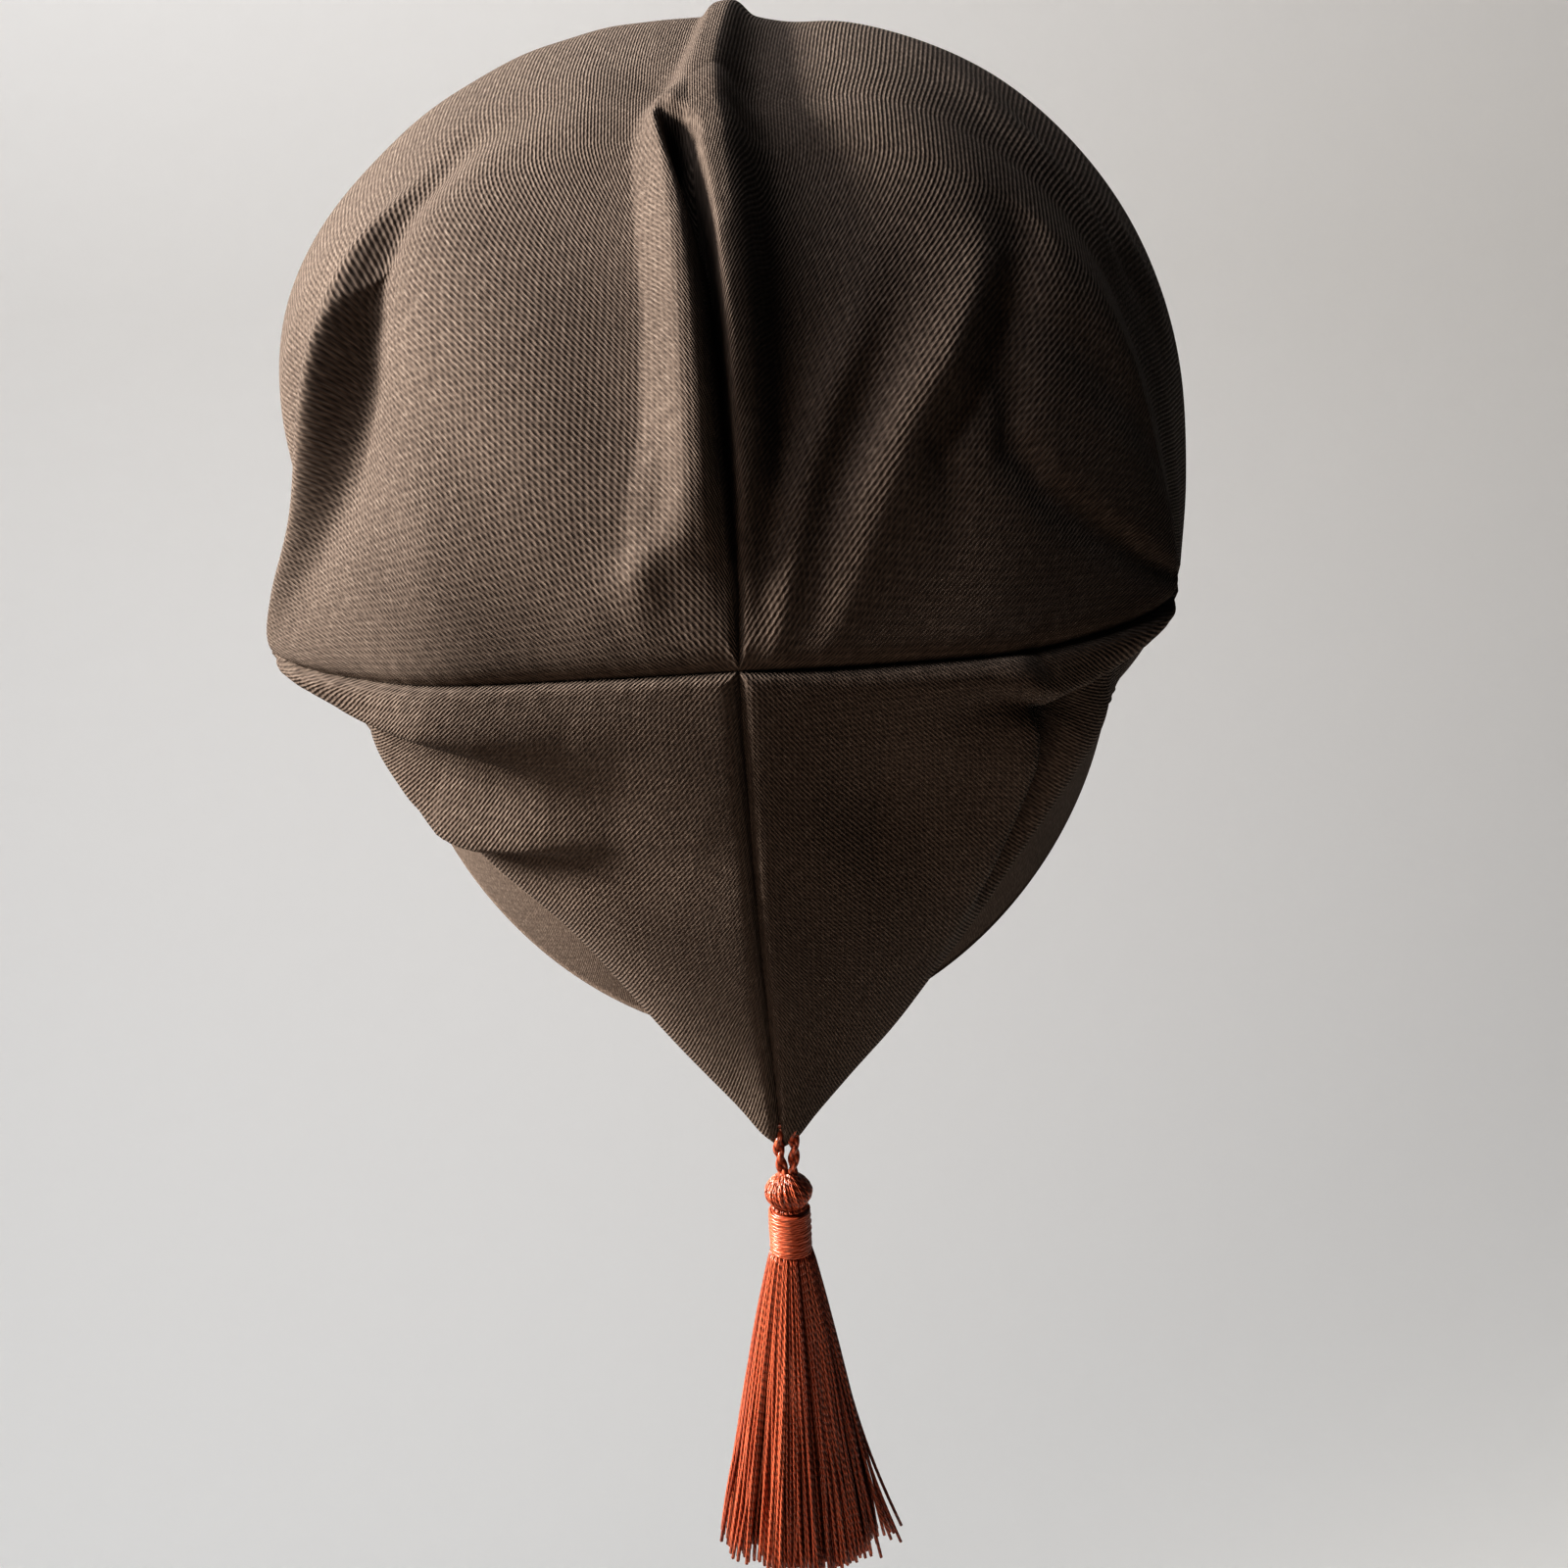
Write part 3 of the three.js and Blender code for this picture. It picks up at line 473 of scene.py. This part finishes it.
def clothFace(u, v):
    # the outside of the cloth and the way it faces: the bare cloth lifted by its folds, which fade out behind
    # the edge of the flap
    way = outward(u, v)
    height = foldHeight(u, v) + wearHeight(u, v)
    height = height * (1 - smooth(1, cap["foldEnd"], np.abs(u) + np.abs(v)) * lowerShare(u, v))
    return clothBase(u, v) + way * height[:, None], way


def clothBack(u, v):
    # the inside of the wall, cut straight across where the two layers come together inside the flap's edge
    reach = np.abs(u) + np.abs(v)
    du, dv = u / np.maximum(reach, 1e-9), v / np.maximum(reach, 1e-9)
    lower = lowerShare(u, v)
    sideways = np.abs(du) ** 3
    near = 1 - lower * (cap["rimEdge"] + cap["rimTip"] * np.maximum(-dv, 0) ** 8 + cap["rimSides"] * sideways)
    far = 1 + lower * (cap["behind"] + cap["behindSides"] * sideways)

    def wall(r):
        face, way = clothFace(du * r, dv * r)
        return face - way * cap["wall"]

    between = (reach > near) & (reach < far)
    plain = wall(reach)
    cut = mix(wall(near), wall(far), np.clip((reach - near) / np.maximum(far - near, 1e-9), 0, 1))
    return np.where(between[:, None], cut, plain)


# The mesh of the panels: columns in a quarter, rows on the tube and on the end, how much closer they lie at
# the arms and at the edge, and the strip inside the edge where the ribs turn, in arms.
panel = {"quarter": 168, "tubeRows": 100, "endRows": 121, "dense": 0.72, "tubeDense": 0.6, "endDense": 0.5,
         "ribTurn": 0.3, "sharp": 60}


def panelShape(side):
    # a half of the chart, side 1 for the upper: columns from the left arm to the right, closer near the arms,
    # rows from the band to the middle of the cross; the inside wall has every second column and row, and
    # five-cornered faces join the two walls round their edges
    t = np.arange(2 * panel["quarter"] + 1) / panel["quarter"]
    turn = t - panel["dense"] * np.sin(2 * math.pi * t) / (2 * math.pi)
    s = 1 - np.arange(panel["tubeRows"]) / panel["tubeRows"]
    tube = 1 + (1 - cap["bandClear"]) * s * (1 - panel["tubeDense"] * (1 - s))
    s = np.arange(panel["endRows"]) / panel["endRows"]
    reach = np.concatenate([tube, 1 - s * (1 - panel["endDense"] * (1 - s))])

    def grid(turns, reaches):
        u = np.append((reaches[:, None] * (turns - 1)).ravel(), 0)
        v = np.append((reaches[:, None] * (1 - np.abs(turns - 1))).ravel(), 0)
        wide, tall = len(turns), len(reaches)
        index = np.arange(wide * tall).reshape(tall, wide)
        quads = np.stack([index[:-1, :-1], index[1:, :-1], index[1:, 1:], index[:-1, 1:]], -1).reshape(-1, 4)
        fan = np.stack([index[-1, :-1], np.full(wide - 1, wide * tall), index[-1, 1:]], 1)
        return u, side * v, index, quads, fan

    u, v, o, quads, fan = grid(turn, reach)
    backU, backV, i, backQuads, backFan = grid(turn[::2], reach[::2])
    points = np.concatenate([clothFace(u, v)[0], clothBack(backU, backV)])
    count = len(u)
    i = i + count
    left = np.stack([o[:-2:2, 0], i[:-1, 0], i[1:, 0], o[2::2, 0], o[1::2, 0]], 1)
    right = np.stack([o[:-2:2, -1], o[1::2, -1], o[2::2, -1], i[1:, -1], i[:-1, -1]], 1)
    hemEdge = np.stack([o[0, 2::2], i[0, 1:], i[0, :-1], o[0, :-2:2], o[0, 1::2]], 1)
    cross, backCross = count - 1, len(points) - 1
    ends = [[o[-1, 0], i[-1, 0], backCross, cross], [o[-1, -1], cross, backCross, i[-1, -1]]]
    faces = []
    for part in (quads, fan, backQuads[:, ::-1] + count, backFan[:, ::-1] + count,
                 left, right, hemEdge, np.array(ends)):
        faces += (part if side > 0 else part[:, ::-1]).tolist()
    # ribs run from the band over the edge to the cross, square to the end's edge, and the turn that they make
    # there is spread over a strip inside the edge
    u, v = np.concatenate([u, backU]), np.concatenate([v, backV])
    r = np.abs(u) + np.abs(v)
    inside = np.clip(1 - r, 0, panel["ribTurn"])
    across = (np.abs(u) - np.abs(v)) / (np.maximum(r, 1) - inside + inside ** 2 / (2 * panel["ribTurn"]))
    return points, faces, np.stack([across, r], -1) * cap["arm"] / math.sqrt(2)


jerseyCloth = jerseyMaterial("ribbed cotton jersey", jersey, 1.0)
for name, side, node, flat, area in (("frontPanel", 1, "front_panel", (0.283, 0.250), 0.0525),
                                     ("backPanel", -1, "back_panel", (0.283, 0.190), 0.0260)):
    points, faces, uv = panelShape(side)
    piece = addPiece(name, points, faces, jerseyCloth, [node], uv, sharp=panel["sharp"])
print("panels made")

# Folded band of plain jersey round the opening. Low and high are where its rounded edges start, as shares
# of its height, and radius and height are its middle sizes, which lay the weave out in millimetres.
hem = {"thickness": 2.6, "inset": 0.4, "low": 0.05, "high": 0.957, "round": 0.036, "around": 360,
       "faceRows": 12, "roundRows": 9, "radius": 84, "height": 20}
hemJersey = {**jersey, "light": "#5c5149", "dark": "#50463f", "rib": 0.55, "relief": 0.00009}


def bandFace(angle, height):
    # the cloth's own surface past the body's edge: reach 2 is the band's upper edge, one ring further its lower
    u, v = np.sin(angle), np.cos(angle)
    reach = (2 + (1 - height) / (cap["bandRow"] - cap["edgeRow"])) / (np.abs(u) + np.abs(v))
    return clothBase(u * reach, v * reach)


def bandInwards(angle):
    # the way from the band's face into the hat
    aside = bandFace(angle + 0.01, 0.5) - bandFace(angle - 0.01, 0.5)
    return unit(np.cross(aside, bandFace(angle, 1.0) - bandFace(angle, 0.0)))


def bandShape():
    # a section with rounded edges carried round the opening
    n = hem["around"]
    angle = 2 * math.pi * np.arange(n) / n
    front, back = hem["inset"], hem["inset"] + hem["thickness"]
    turn = np.linspace(0, math.pi, hem["roundRows"])
    middle, half = (front + back) / 2, (back - front) / 2
    rise = np.linspace(hem["low"], hem["high"], hem["faceRows"])
    heights = np.concatenate([rise, hem["high"] + hem["round"] * np.sin(turn),
                              rise[::-1], hem["low"] * (1 - np.sin(turn))])
    depths = np.concatenate([np.full(len(rise), front), middle - half * np.cos(turn),
                             np.full(len(rise), back), middle + half * np.cos(turn)])
    count = len(heights)
    a, h = np.repeat(angle, count), np.tile(heights, n)
    points = bandFace(a, h) + np.repeat(bandInwards(angle), count, 0) * np.tile(depths, n)[:, None]
    i, k = np.repeat(np.arange(n), count), np.tile(np.arange(count), n)
    j, m = (i + 1) % n, (k + 1) % count
    faces = np.stack([i * count + k, i * count + m, j * count + m, j * count + k], 1)
    uv = np.stack([a * hem["radius"], h * hem["height"]], -1)
    return points, faces.tolist(), uv


points, faces, uv = bandShape()
bandJersey = jerseyMaterial("plain jersey band", hemJersey, 0.5)
hemBand = addPiece("hemBand", points, faces, bandJersey, ["hem_band"], uv)
print("band made")


# millimetres of twist from the start of the darkest thread to that of the lightest
twistStart = 40


def tubes(paths, radius, sides, aside, shade):
    # round threads: a circle carried along each path, on two directions square to it, of which the first is
    # square to aside too, with closed ends; the uv of a corner is its share of the way round and its length
    # along the path
    count, steps = paths.shape[:2]
    way = unit(np.gradient(paths, axis=1))
    first = unit(np.cross(way, aside))
    second = np.cross(way, first)
    turn = 2 * math.pi * np.arange(sides) / sides
    radius = np.broadcast_to(radius, (count, steps))[..., None, None]
    ring = first[:, :, None] * np.cos(turn)[:, None] + second[:, :, None] * np.sin(turn)[:, None]
    points = paths[:, :, None] + radius * ring
    index = np.arange(count * steps * sides).reshape(count, steps, sides)
    after = np.roll(index, -1, 2)
    walls = np.stack([index[:, :-1], after[:, :-1], after[:, 1:], index[:, 1:]], -1).reshape(-1, 4)
    caps = np.concatenate([index[:, 0, ::-1], index[:, -1]])
    length = np.concatenate([np.zeros((count, 1)),
                             np.cumsum(np.linalg.norm(np.diff(paths, axis=1), axis=2), 1)], 1)
    # each thread starts at its own place in the twist
    length = length + twistStart * np.asarray(shade)[:, None]
    share, part = np.arange(sides) / sides, np.array([0, 1, 1, 0]) / sides
    far = np.stack([length[:, :-1], length[:, :-1], length[:, 1:], length[:, 1:]], -1)[:, :, None]
    wallUv = np.stack(np.broadcast_arrays(share[:, None] + part, far), -1).reshape(-1, 2)
    ends = [np.stack(np.broadcast_arrays(turns, at), -1).reshape(-1, 2)
            for turns, at in ((share[::-1], length[:, :1]), (share, length[:, -1:]))]
    uv = np.concatenate([wallUv, *ends])
    shades = np.broadcast_to(np.asarray(shade)[:, None, None], index.shape)
    return points.reshape(-1, 3), walls.tolist() + caps.tolist(), uv, shades.ravel()


def joined(*parts):
    # several point and face lists as one
    points, faces, uv, shade, first = [], [], [], [], 0
    for p, f, m, s in parts:
        points.append(p)
        faces += [[i + first for i in face] for face in f]
        uv.append(m)
        shade.append(s)
        first += len(p)
    return np.concatenate(points), faces, np.concatenate(uv), np.concatenate(shade)


def turned(profile, sides, shade):
    # a profile of radius and height turned about the tassel's own line
    turn = 2 * math.pi * np.arange(sides) / sides
    r, z = np.array(profile).T
    points = np.stack([r[:, None] * np.cos(turn), r[:, None] * np.sin(turn),
                       np.broadcast_to(z[:, None], (len(r), sides))], -1)
    index = np.arange(len(r) * sides).reshape(len(r), sides)
    after = np.roll(index, -1, 1)
    walls = np.stack([index[:-1], index[1:], after[1:], after[:-1]], -1).reshape(-1, 4)
    share, part = np.arange(sides) / sides, np.array([0, 0, 1, 1]) / sides
    high = np.stack([z[:-1], z[1:], z[1:], z[:-1]], -1)[:, None]
    wallUv = np.stack(np.broadcast_arrays(share[:, None] + part, high), -1).reshape(-1, 2)
    ends = [np.stack(np.broadcast_arrays(s, h), -1) for s, h in ((share, z[0]), (share[::-1], z[-1]))]
    faces = walls.tolist() + [index[0].tolist(), index[-1, ::-1].tolist()]
    return points.reshape(-1, 3), faces, np.concatenate([wallUv, *ends]), np.full(index.size, shade)


# Row of dark stitches that holds the band on: one slanting stitch after the other round the opening.
stitching = {"count": 210, "radius": 0.17, "long": 0.72, "slant": 0.035, "stands": 0.2, "sunk": 0.12,
             "level": 0.995, "uneven": 0.2, "points": 6, "sides": 6, "aside": (0.2, 0.3, 1.0)}
# the dark groove colour is painted shade in the turns between the plies
sewingThread = {"paintedGrooveShade": "#0d0a09", "dark": "#181310", "light": "#2b2420", "turns": 0.5, "relief": 0.00004,
                "sheen": "#f0b48c", "rough": 0.6, "shine": 0.3}


def stitchShape():
    # each stitch is a low arc along the band's upper edge, whose two ends go into the cloth
    n, t = stitching["count"], np.linspace(-0.5, 0.5, stitching["points"])
    middle = 2 * math.pi * (np.arange(n) + stitching["uneven"] * rng.random(n)) / n
    angle = middle[:, None] + 2 * math.pi / n * stitching["long"] * t
    height = stitching["level"] + stitching["slant"] * t * np.ones((n, 1))
    stands = stitching["stands"] * np.cos(math.pi * t) - stitching["sunk"]
    face = bandFace(angle.ravel(), height.ravel()) - bandInwards(angle.ravel()) * np.tile(stands, n)[:, None]
    paths = face.reshape(n, len(t), 3)
    return tubes(paths, stitching["radius"], stitching["sides"], stitching["aside"], rng.random(n))


points, faces, uv, shade = stitchShape()
sewing = threadMaterial("polyester sewing thread", sewingThread)
addPiece("bandStitching", points, faces, sewing, [], uv, shade)
print("stitches made")


# Tassel on the lowest corner: a sewn loop, a bundle folded over it into a round head, a wound neck and a
# skirt of free strands. Its own line is upright, and its levels go down from the corner.
tassel = {"x": 2.2, "y": -99.5, "corner": -64.0, "loopShown": 4.7, "headHeight": 7.2, "wrapHeight": 8.8,
          "neck": 2.9}
headTop = tassel["corner"] - tassel["loopShown"]
headBottom = headTop - tassel["headHeight"]
wrapBottom = headBottom - tassel["wrapHeight"]
hangs = np.array([tassel["x"], tassel["y"], 0.0])

# The loop is sewn into the corner by its seat and goes into the head by its socket.
loop = {"seat": 5.0, "socket": 2.6, "gap": 2.7, "closeGap": 1.7, "closeFrom": -0.5, "closeTo": 4.0, "ply": 0.56,
        "wind": 0.5, "pitch": 7.0, "points": 170, "sides": 10, "aside": (0.3, 1.0, 0.2), "shades": (0.45, 0.65)}


def loopShape():
    # two plies wound round a line that goes up one leg, over a half circle and down the other, with the legs
    # drawn together towards the head
    half = loop["gap"] / 2
    top, bottom = tassel["corner"] + loop["seat"], headTop - loop["socket"]
    leg = top - half - bottom
    bend = math.pi * half
    s = np.linspace(0, 2 * leg + bend, loop["points"])
    turn = np.clip((s - leg) / bend, 0, 1) * math.pi
    z = np.where(s < leg, bottom + s, np.where(s > leg + bend, bottom + 2 * leg + bend - s, 0))
    z = np.where((s >= leg) & (s <= leg + bend), top - half + half * np.sin(turn), z)
    close = loop["closeGap"] / loop["gap"]
    drawn = close + (1 - close) * smooth(headTop + loop["closeFrom"], headTop + loop["closeTo"], z)
    line = np.stack([-half * np.cos(turn) * drawn, np.zeros_like(s), z], -1)
    inPlane = np.stack([np.cos(turn), np.zeros_like(s), -np.sin(turn)], -1)
    spin = 2 * math.pi * s / loop["pitch"]
    plies = []
    for start in (0, math.pi):
        offset = inPlane * np.cos(spin + start)[:, None] + np.array([0, 1.0, 0]) * np.sin(spin + start)[:, None]
        plies.append(line + loop["wind"] * offset)
    return tubes(np.array(plies), loop["ply"], loop["sides"], loop["aside"], loop["shades"])


# The head's threads lie side by side, each as wide as its share of the way round, on a darker core that is
# painted shade in the gaps between them.
head = {"threads": 60, "radius": 4.1, "roundness": 0.7, "first": 0.02, "last": 0.9, "neckFrom": 0.6,
        "neckClear": 0.2, "turn": 0.5, "turnSpread": 0.12, "uneven": 0.5, "fill": 1.25, "thin": 0.16,
        "thick": 0.46, "sunk": 0.55, "rough": 0.10, "points": 30, "sides": 8, "aside": (0.13, 0.21, 1.0),
        "shade": 0.6, "shadeSpread": 0.25, "coreSunk": 0.9, "coreLeast": 0.05, "coreSides": 24, "corePaintedShade": 0.2}


def headShape():
    # threads over a round core: each runs from the loop over the bulge and in to the neck, turned a little
    n = head["threads"]
    t = np.linspace(head["first"], head["last"], head["points"])
    r = head["radius"] * np.sin(math.pi * t) ** head["roundness"]
    r = np.maximum(r, smooth(head["neckFrom"], head["last"], t) * (tassel["neck"] + head["neckClear"]))
    z = headTop - tassel["headHeight"] * t / head["last"]
    start = 2 * math.pi * (np.arange(n) + head["uneven"] * rng.random(n)) / n
    angle = start[:, None] + (head["turn"] + head["turnSpread"] * rng.normal(size=(n, 1))) * t
    width = np.clip(head["fill"] * math.pi * r / n, head["thin"], head["thick"])
    inner = r - head["sunk"] * width + head["rough"] * rng.normal(size=(n, 1)) * np.sin(math.pi * t)
    paths = np.stack([inner * np.cos(angle), inner * np.sin(angle), np.broadcast_to(z, angle.shape)], -1)
    shade = np.clip(head["shade"] + head["shadeSpread"] * rng.normal(size=n), 0, 1)
    threads = tubes(paths, width, head["sides"], head["aside"], shade)
    # the core is given a dark shade value: painted shade showing between the threads
    profile = np.stack([np.maximum(r - head["coreSunk"] * width, head["coreLeast"]), z], -1)
    return joined(threads, turned(profile, head["coreSides"], head["corePaintedShade"]))


# The winding: uneven gives the height and the pace of each ripple in its radius, and drift those of its level.
wrap = {"turns": 19, "radius": 3.75, "thread": 0.29, "end": 0.35, "uneven": ((0.06, 1.7), (0.05, 0.37)),
        "drift": (0.04, 0.9), "points": 26, "sides": 8, "aside": (0.0, 0.0, 1.0), "shade": 0.75,
        "sleeve": 3.2, "sleeveSides": 24, "sleevePaintedShade": 0.2}


def wrapShape():
    # one thread wound round the neck, turn on turn, with a slight unevenness, over a plain sleeve given a dark
    # shade value as painted shade between the turns
    turns = wrap["turns"]
    s = np.linspace(0, turns, turns * wrap["points"])
    angle = 2 * math.pi * s
    radius = wrap["radius"] - wrap["thread"] + sum(high * np.sin(pace * angle) for high, pace in wrap["uneven"])
    top, bottom = headBottom - wrap["end"], wrapBottom + wrap["end"]
    high, pace = wrap["drift"]
    z = top + (bottom - top) * s / turns + high * np.sin(pace * angle)
    path = np.stack([radius * np.cos(angle), radius * np.sin(angle), z], -1)[None]
    thread = tubes(path, wrap["thread"], wrap["sides"], wrap["aside"], [wrap["shade"]])
    inside, outside = tassel["neck"], wrap["sleeve"]
    profile = [(inside, top), (outside, top), (outside, bottom), (inside, bottom)]
    # the sleeve's dark shade value is painted shade between the turns
    return joined(thread, turned(profile, wrap["sleeveSides"], wrap["sleevePaintedShade"]))


# The skirt's strands: how hollow the bundle is, its widths and length, how strands gather in locks and stray,
# and their unevenness; the inner ones are darker as painted shade inside the bundle, and all are thinner at the
# neck.
skirt = {"strands": 900, "strand": 0.32, "length": 59.5, "extra": 1.2, "tucked": 1.6, "top": 3.3,
         "bottom": 14.2, "flare": 0.85, "flat": 0.86, "lean": -0.9, "hollow": 0.12, "locks": 58,
         "lockUneven": 0.6, "lockPull": 0.5, "strays": 8, "strayOut": 4.2, "strayTurn": 0.25, "bend": 0.08,
         "spread": 0.04, "waver": 0.35, "waverPace": 0.8, "ragged": 0.012, "slope": 0.012, "shade": 0.62,
         "shadeSpread": 0.28, "innerPaintedShade": 0.35, "thinTop": 0.62, "thinEnd": 0.35, "points": 20, "sides": 4,
         "aside": (0.31, 0.87, 0.1)}


def skirtShape():
    # free strands: each leaves the neck at its own place, spreads with the skirt's width at that height, is
    # drawn towards the middle of its lock, wavers a little, and ends at its own length; the last few stray
    # out at the right
    n, locks = skirt["strands"], skirt["locks"]
    s = np.linspace(0, 1, skirt["points"])
    out = np.sqrt(skirt["hollow"] + (1 - skirt["hollow"]) * rng.random(n))
    angle = 2 * math.pi * rng.random(n)
    stray = np.arange(n) >= n - skirt["strays"]
    out = np.where(stray, 1.0, out)
    angle = np.where(stray, skirt["strayTurn"] * rng.normal(size=n), angle)
    lockAngle = 2 * math.pi * (np.arange(locks) + skirt["lockUneven"] * rng.random(locks)) / locks
    lock = lockAngle[np.floor(angle / (2 * math.pi) * locks).astype(int) % locks]
    away = (lock - angle + math.pi) % (2 * math.pi) - math.pi
    bend = angle[:, None] + away[:, None] * skirt["lockPull"] * s
    bend = bend + skirt["bend"] * rng.normal(size=(n, 1)) * s ** 2
    width = skirt["top"] + (skirt["bottom"] - skirt["top"]) * s ** skirt["flare"]
    spread = out[:, None] * (1 + skirt["spread"] * rng.normal(size=(n, 1)) * s) * width
    spread = spread + (stray * skirt["strayOut"] * rng.random(n))[:, None] * s ** 3
    pace = skirt["waverPace"] + rng.random((n, 1))
    waver = skirt["waver"] * s * np.sin(2 * math.pi * (s * pace + rng.random((n, 1))))
    x = (spread + waver) * np.cos(bend) + skirt["lean"] * s
    y = skirt["flat"] * (spread + waver) * np.sin(bend)
    uneven = 1 + skirt["ragged"] * rng.normal(size=(n, 1)) + skirt["slope"] * np.cos(angle)[:, None]
    z = wrapBottom + skirt["tucked"] - (skirt["length"] * uneven + skirt["extra"]) * s
    paths = np.stack(np.broadcast_arrays(x, y, z), -1)
    shade = np.clip(skirt["shade"] + skirt["shadeSpread"] * rng.normal(size=n), 0, 1)
    # strands nearer the middle are darkened: painted shade inside the bundle
    shade = shade * (skirt["innerPaintedShade"] + (1 - skirt["innerPaintedShade"]) * out)
    radius = skirt["strand"] * (skirt["thinTop"] + (1 - skirt["thinTop"]) * smooth(0, skirt["thinEnd"], s))
    return tubes(paths, radius[None], skirt["sides"], skirt["aside"], shade)


silk = threadMaterial("viscose tassel thread", silkThread)
# the winding lies smooth, with paler painted shade in its twist and less relief, so that its turns show and not
# its twist
smoothSilk = threadMaterial("wound viscose thread", {**silkThread, "paintedGrooveShade": "#8a4029", "relief": 0.00003})
for name, shape, material, node in (
        ("tasselLoop", loopShape(), silk, "tassel_loop"),
        ("tasselWrap", wrapShape(), smoothSilk, "tassel_wrap"),
        ("tasselThreads", joined(headShape(), skirtShape()), silk, "tassel_threads")):
    points, faces, uv, shade = shape
    addPiece(name, points + hangs, faces, material, [node], uv, shade)
print("tassel made")

# Stage: one pale sheet that runs level under the hat and curves up behind it, matte and faintly grained, so
# that it reads as a plain wall. Sizes in metres.
stage = {"floor": -0.55, "wall": 0.95, "bend": 0.45, "half": 3.0, "front": -3.0, "top": 3.0,
         "bendRows": 24, "colour": "#efefec", "rough": 0.9, "grain": 60.0, "relief": 0.002, "reliefShare": 0.15}


def backdropShape():
    # a level run, a quarter circle and a wall, carried sideways
    turn = np.linspace(0, math.pi / 2, stage["bendRows"])
    away, up = stage["bend"] * (np.sin(turn) - 1), stage["bend"] * (1 - np.cos(turn))
    y = np.concatenate([[stage["front"]], stage["wall"] + away, [stage["wall"]]])
    z = np.concatenate([[stage["floor"]], stage["floor"] + up, [stage["top"]]])
    x = np.array([-stage["half"], stage["half"]])
    points = np.stack(np.broadcast_arrays(x, y[:, None], z[:, None]), -1).reshape(-1, 3)
    i = 2 * np.arange(len(y) - 1)
    return points, np.stack([i, i + 1, i + 3, i + 2], 1).tolist()


paper, tree = newMaterial("matte plaster wall")
noise = addNode(tree, "TexNoise", {}, {"Scale": stage["grain"], "Detail": 4.0},
                {"Vector": addNode(tree, "TexCoord").outputs["Object"]})
bump = addNode(tree, "Bump", {}, {"Strength": stage["reliefShare"], "Distance": stage["relief"]},
               {"Height": noise.outputs["Fac"]})
wallShader = addNode(tree, "BsdfPrincipled", {},
                     {"Base Color": linear(stage["colour"]), "Roughness": stage["rough"]},
                     {"Normal": bump.outputs["Normal"]})
addNode(tree, "OutputMaterial", {}, {}, {"Surface": wallShader.outputs["BSDF"]})
mesh = bpy.data.meshes.new("backdrop")
points, faces = backdropShape()
mesh.from_pydata(points, [], faces)
mesh.polygons.foreach_set("use_smooth", np.ones(len(mesh.polygons), bool))
mesh.materials.append(paper)
backdrop = bpy.data.objects.new("backdrop", mesh)
bpy.context.scene.collection.objects.link(backdrop)

# Soft light: a window at the upper left that reaches little but the hat, a weak warm light from the room in
# front, a wide wash on the wall, and a very weak even surround. Places and sizes in metres, power in watts.
lights = {
    "window": {"at": (-0.90, -0.06, 0.44), "to": (0.0, -0.06, 0.03), "size": 0.35, "power": 3.1, "spread": 50.0,
               "tint": "#fffaf4"},
    "room": {"at": (-0.30, -1.0, -0.35), "to": (0.0, -0.06, 0.0), "size": 0.6, "power": 1.2, "spread": 90.0,
             "tint": "#ffe7d4"},
    "wash": {"at": (-0.55, 0.15, 1.0), "to": (0.0, 0.95, -0.1), "size": 0.8, "power": 9.4, "spread": 150.0,
             "tint": "#fbfbff"},
}


def aim(thing, at, to):
    # the local -Z of a light or camera looks along the line from at to to
    thing.location = at
    thing.rotation_mode = "QUATERNION"
    thing.rotation_quaternion = (Vector(to) - Vector(at)).to_track_quat("-Z", "Y")


for name, look in lights.items():
    lamp = bpy.data.lights.new(name, "AREA")
    lamp.shape = "SQUARE"
    lamp.size = look["size"]
    lamp.energy = look["power"]
    lamp.color = linear(look["tint"])[:3]
    lamp.spread = math.radians(look["spread"])
    shine = bpy.data.objects.new(name, lamp)
    bpy.context.scene.collection.objects.link(shine)
    aim(shine, look["at"], look["to"])

surround = {"colour": "#eef0ee", "strength": 0.02}
world = bpy.data.worlds.new("pale room")
bpy.context.scene.world = world
world.use_nodes = True
sky = world.node_tree.nodes["Background"]
sky.inputs["Color"].default_value = linear(surround["colour"])
sky.inputs["Strength"].default_value = surround["strength"]

# Camera behind the hat and above it, turned a little, for a 1600 by 1600 frame: target and distance in
# millimetres, turns in degrees, and the focal length in pixels of that frame.
shot = {"target": (4.8, -23.0, -24.0), "distance": 570.0, "elevation": 20.0, "roll": -2.7, "pixels": 2970.0,
        "frame": 1600.0, "sensor": 36.0, "near": 0.01, "far": 20.0}
camera = bpy.data.cameras.new("camera")
camera.sensor_width = shot["sensor"]
camera.lens = shot["pixels"] / shot["frame"] * camera.sensor_width
camera.clip_start = shot["near"]
camera.clip_end = shot["far"]
camera.dof.use_dof = False
viewer = bpy.data.objects.new("camera", camera)
bpy.context.scene.collection.objects.link(viewer)
tilt = math.radians(shot["elevation"])
target = np.array(shot["target"]) * 0.001
eye = target + 0.001 * shot["distance"] * np.array([0, -math.cos(tilt), math.sin(tilt)])
aim(viewer, eye.tolist(), target.tolist())
viewer.rotation_quaternion = viewer.rotation_quaternion @ Quaternion((0, 0, 1), math.radians(shot["roll"]))
bpy.context.scene.camera = viewer
# plain display colours keep the deep shade and the rust as they are
bpy.context.scene.view_settings.view_transform = "Standard"
bpy.context.scene.view_settings.look = "High Contrast"
print("stage, light and camera made")
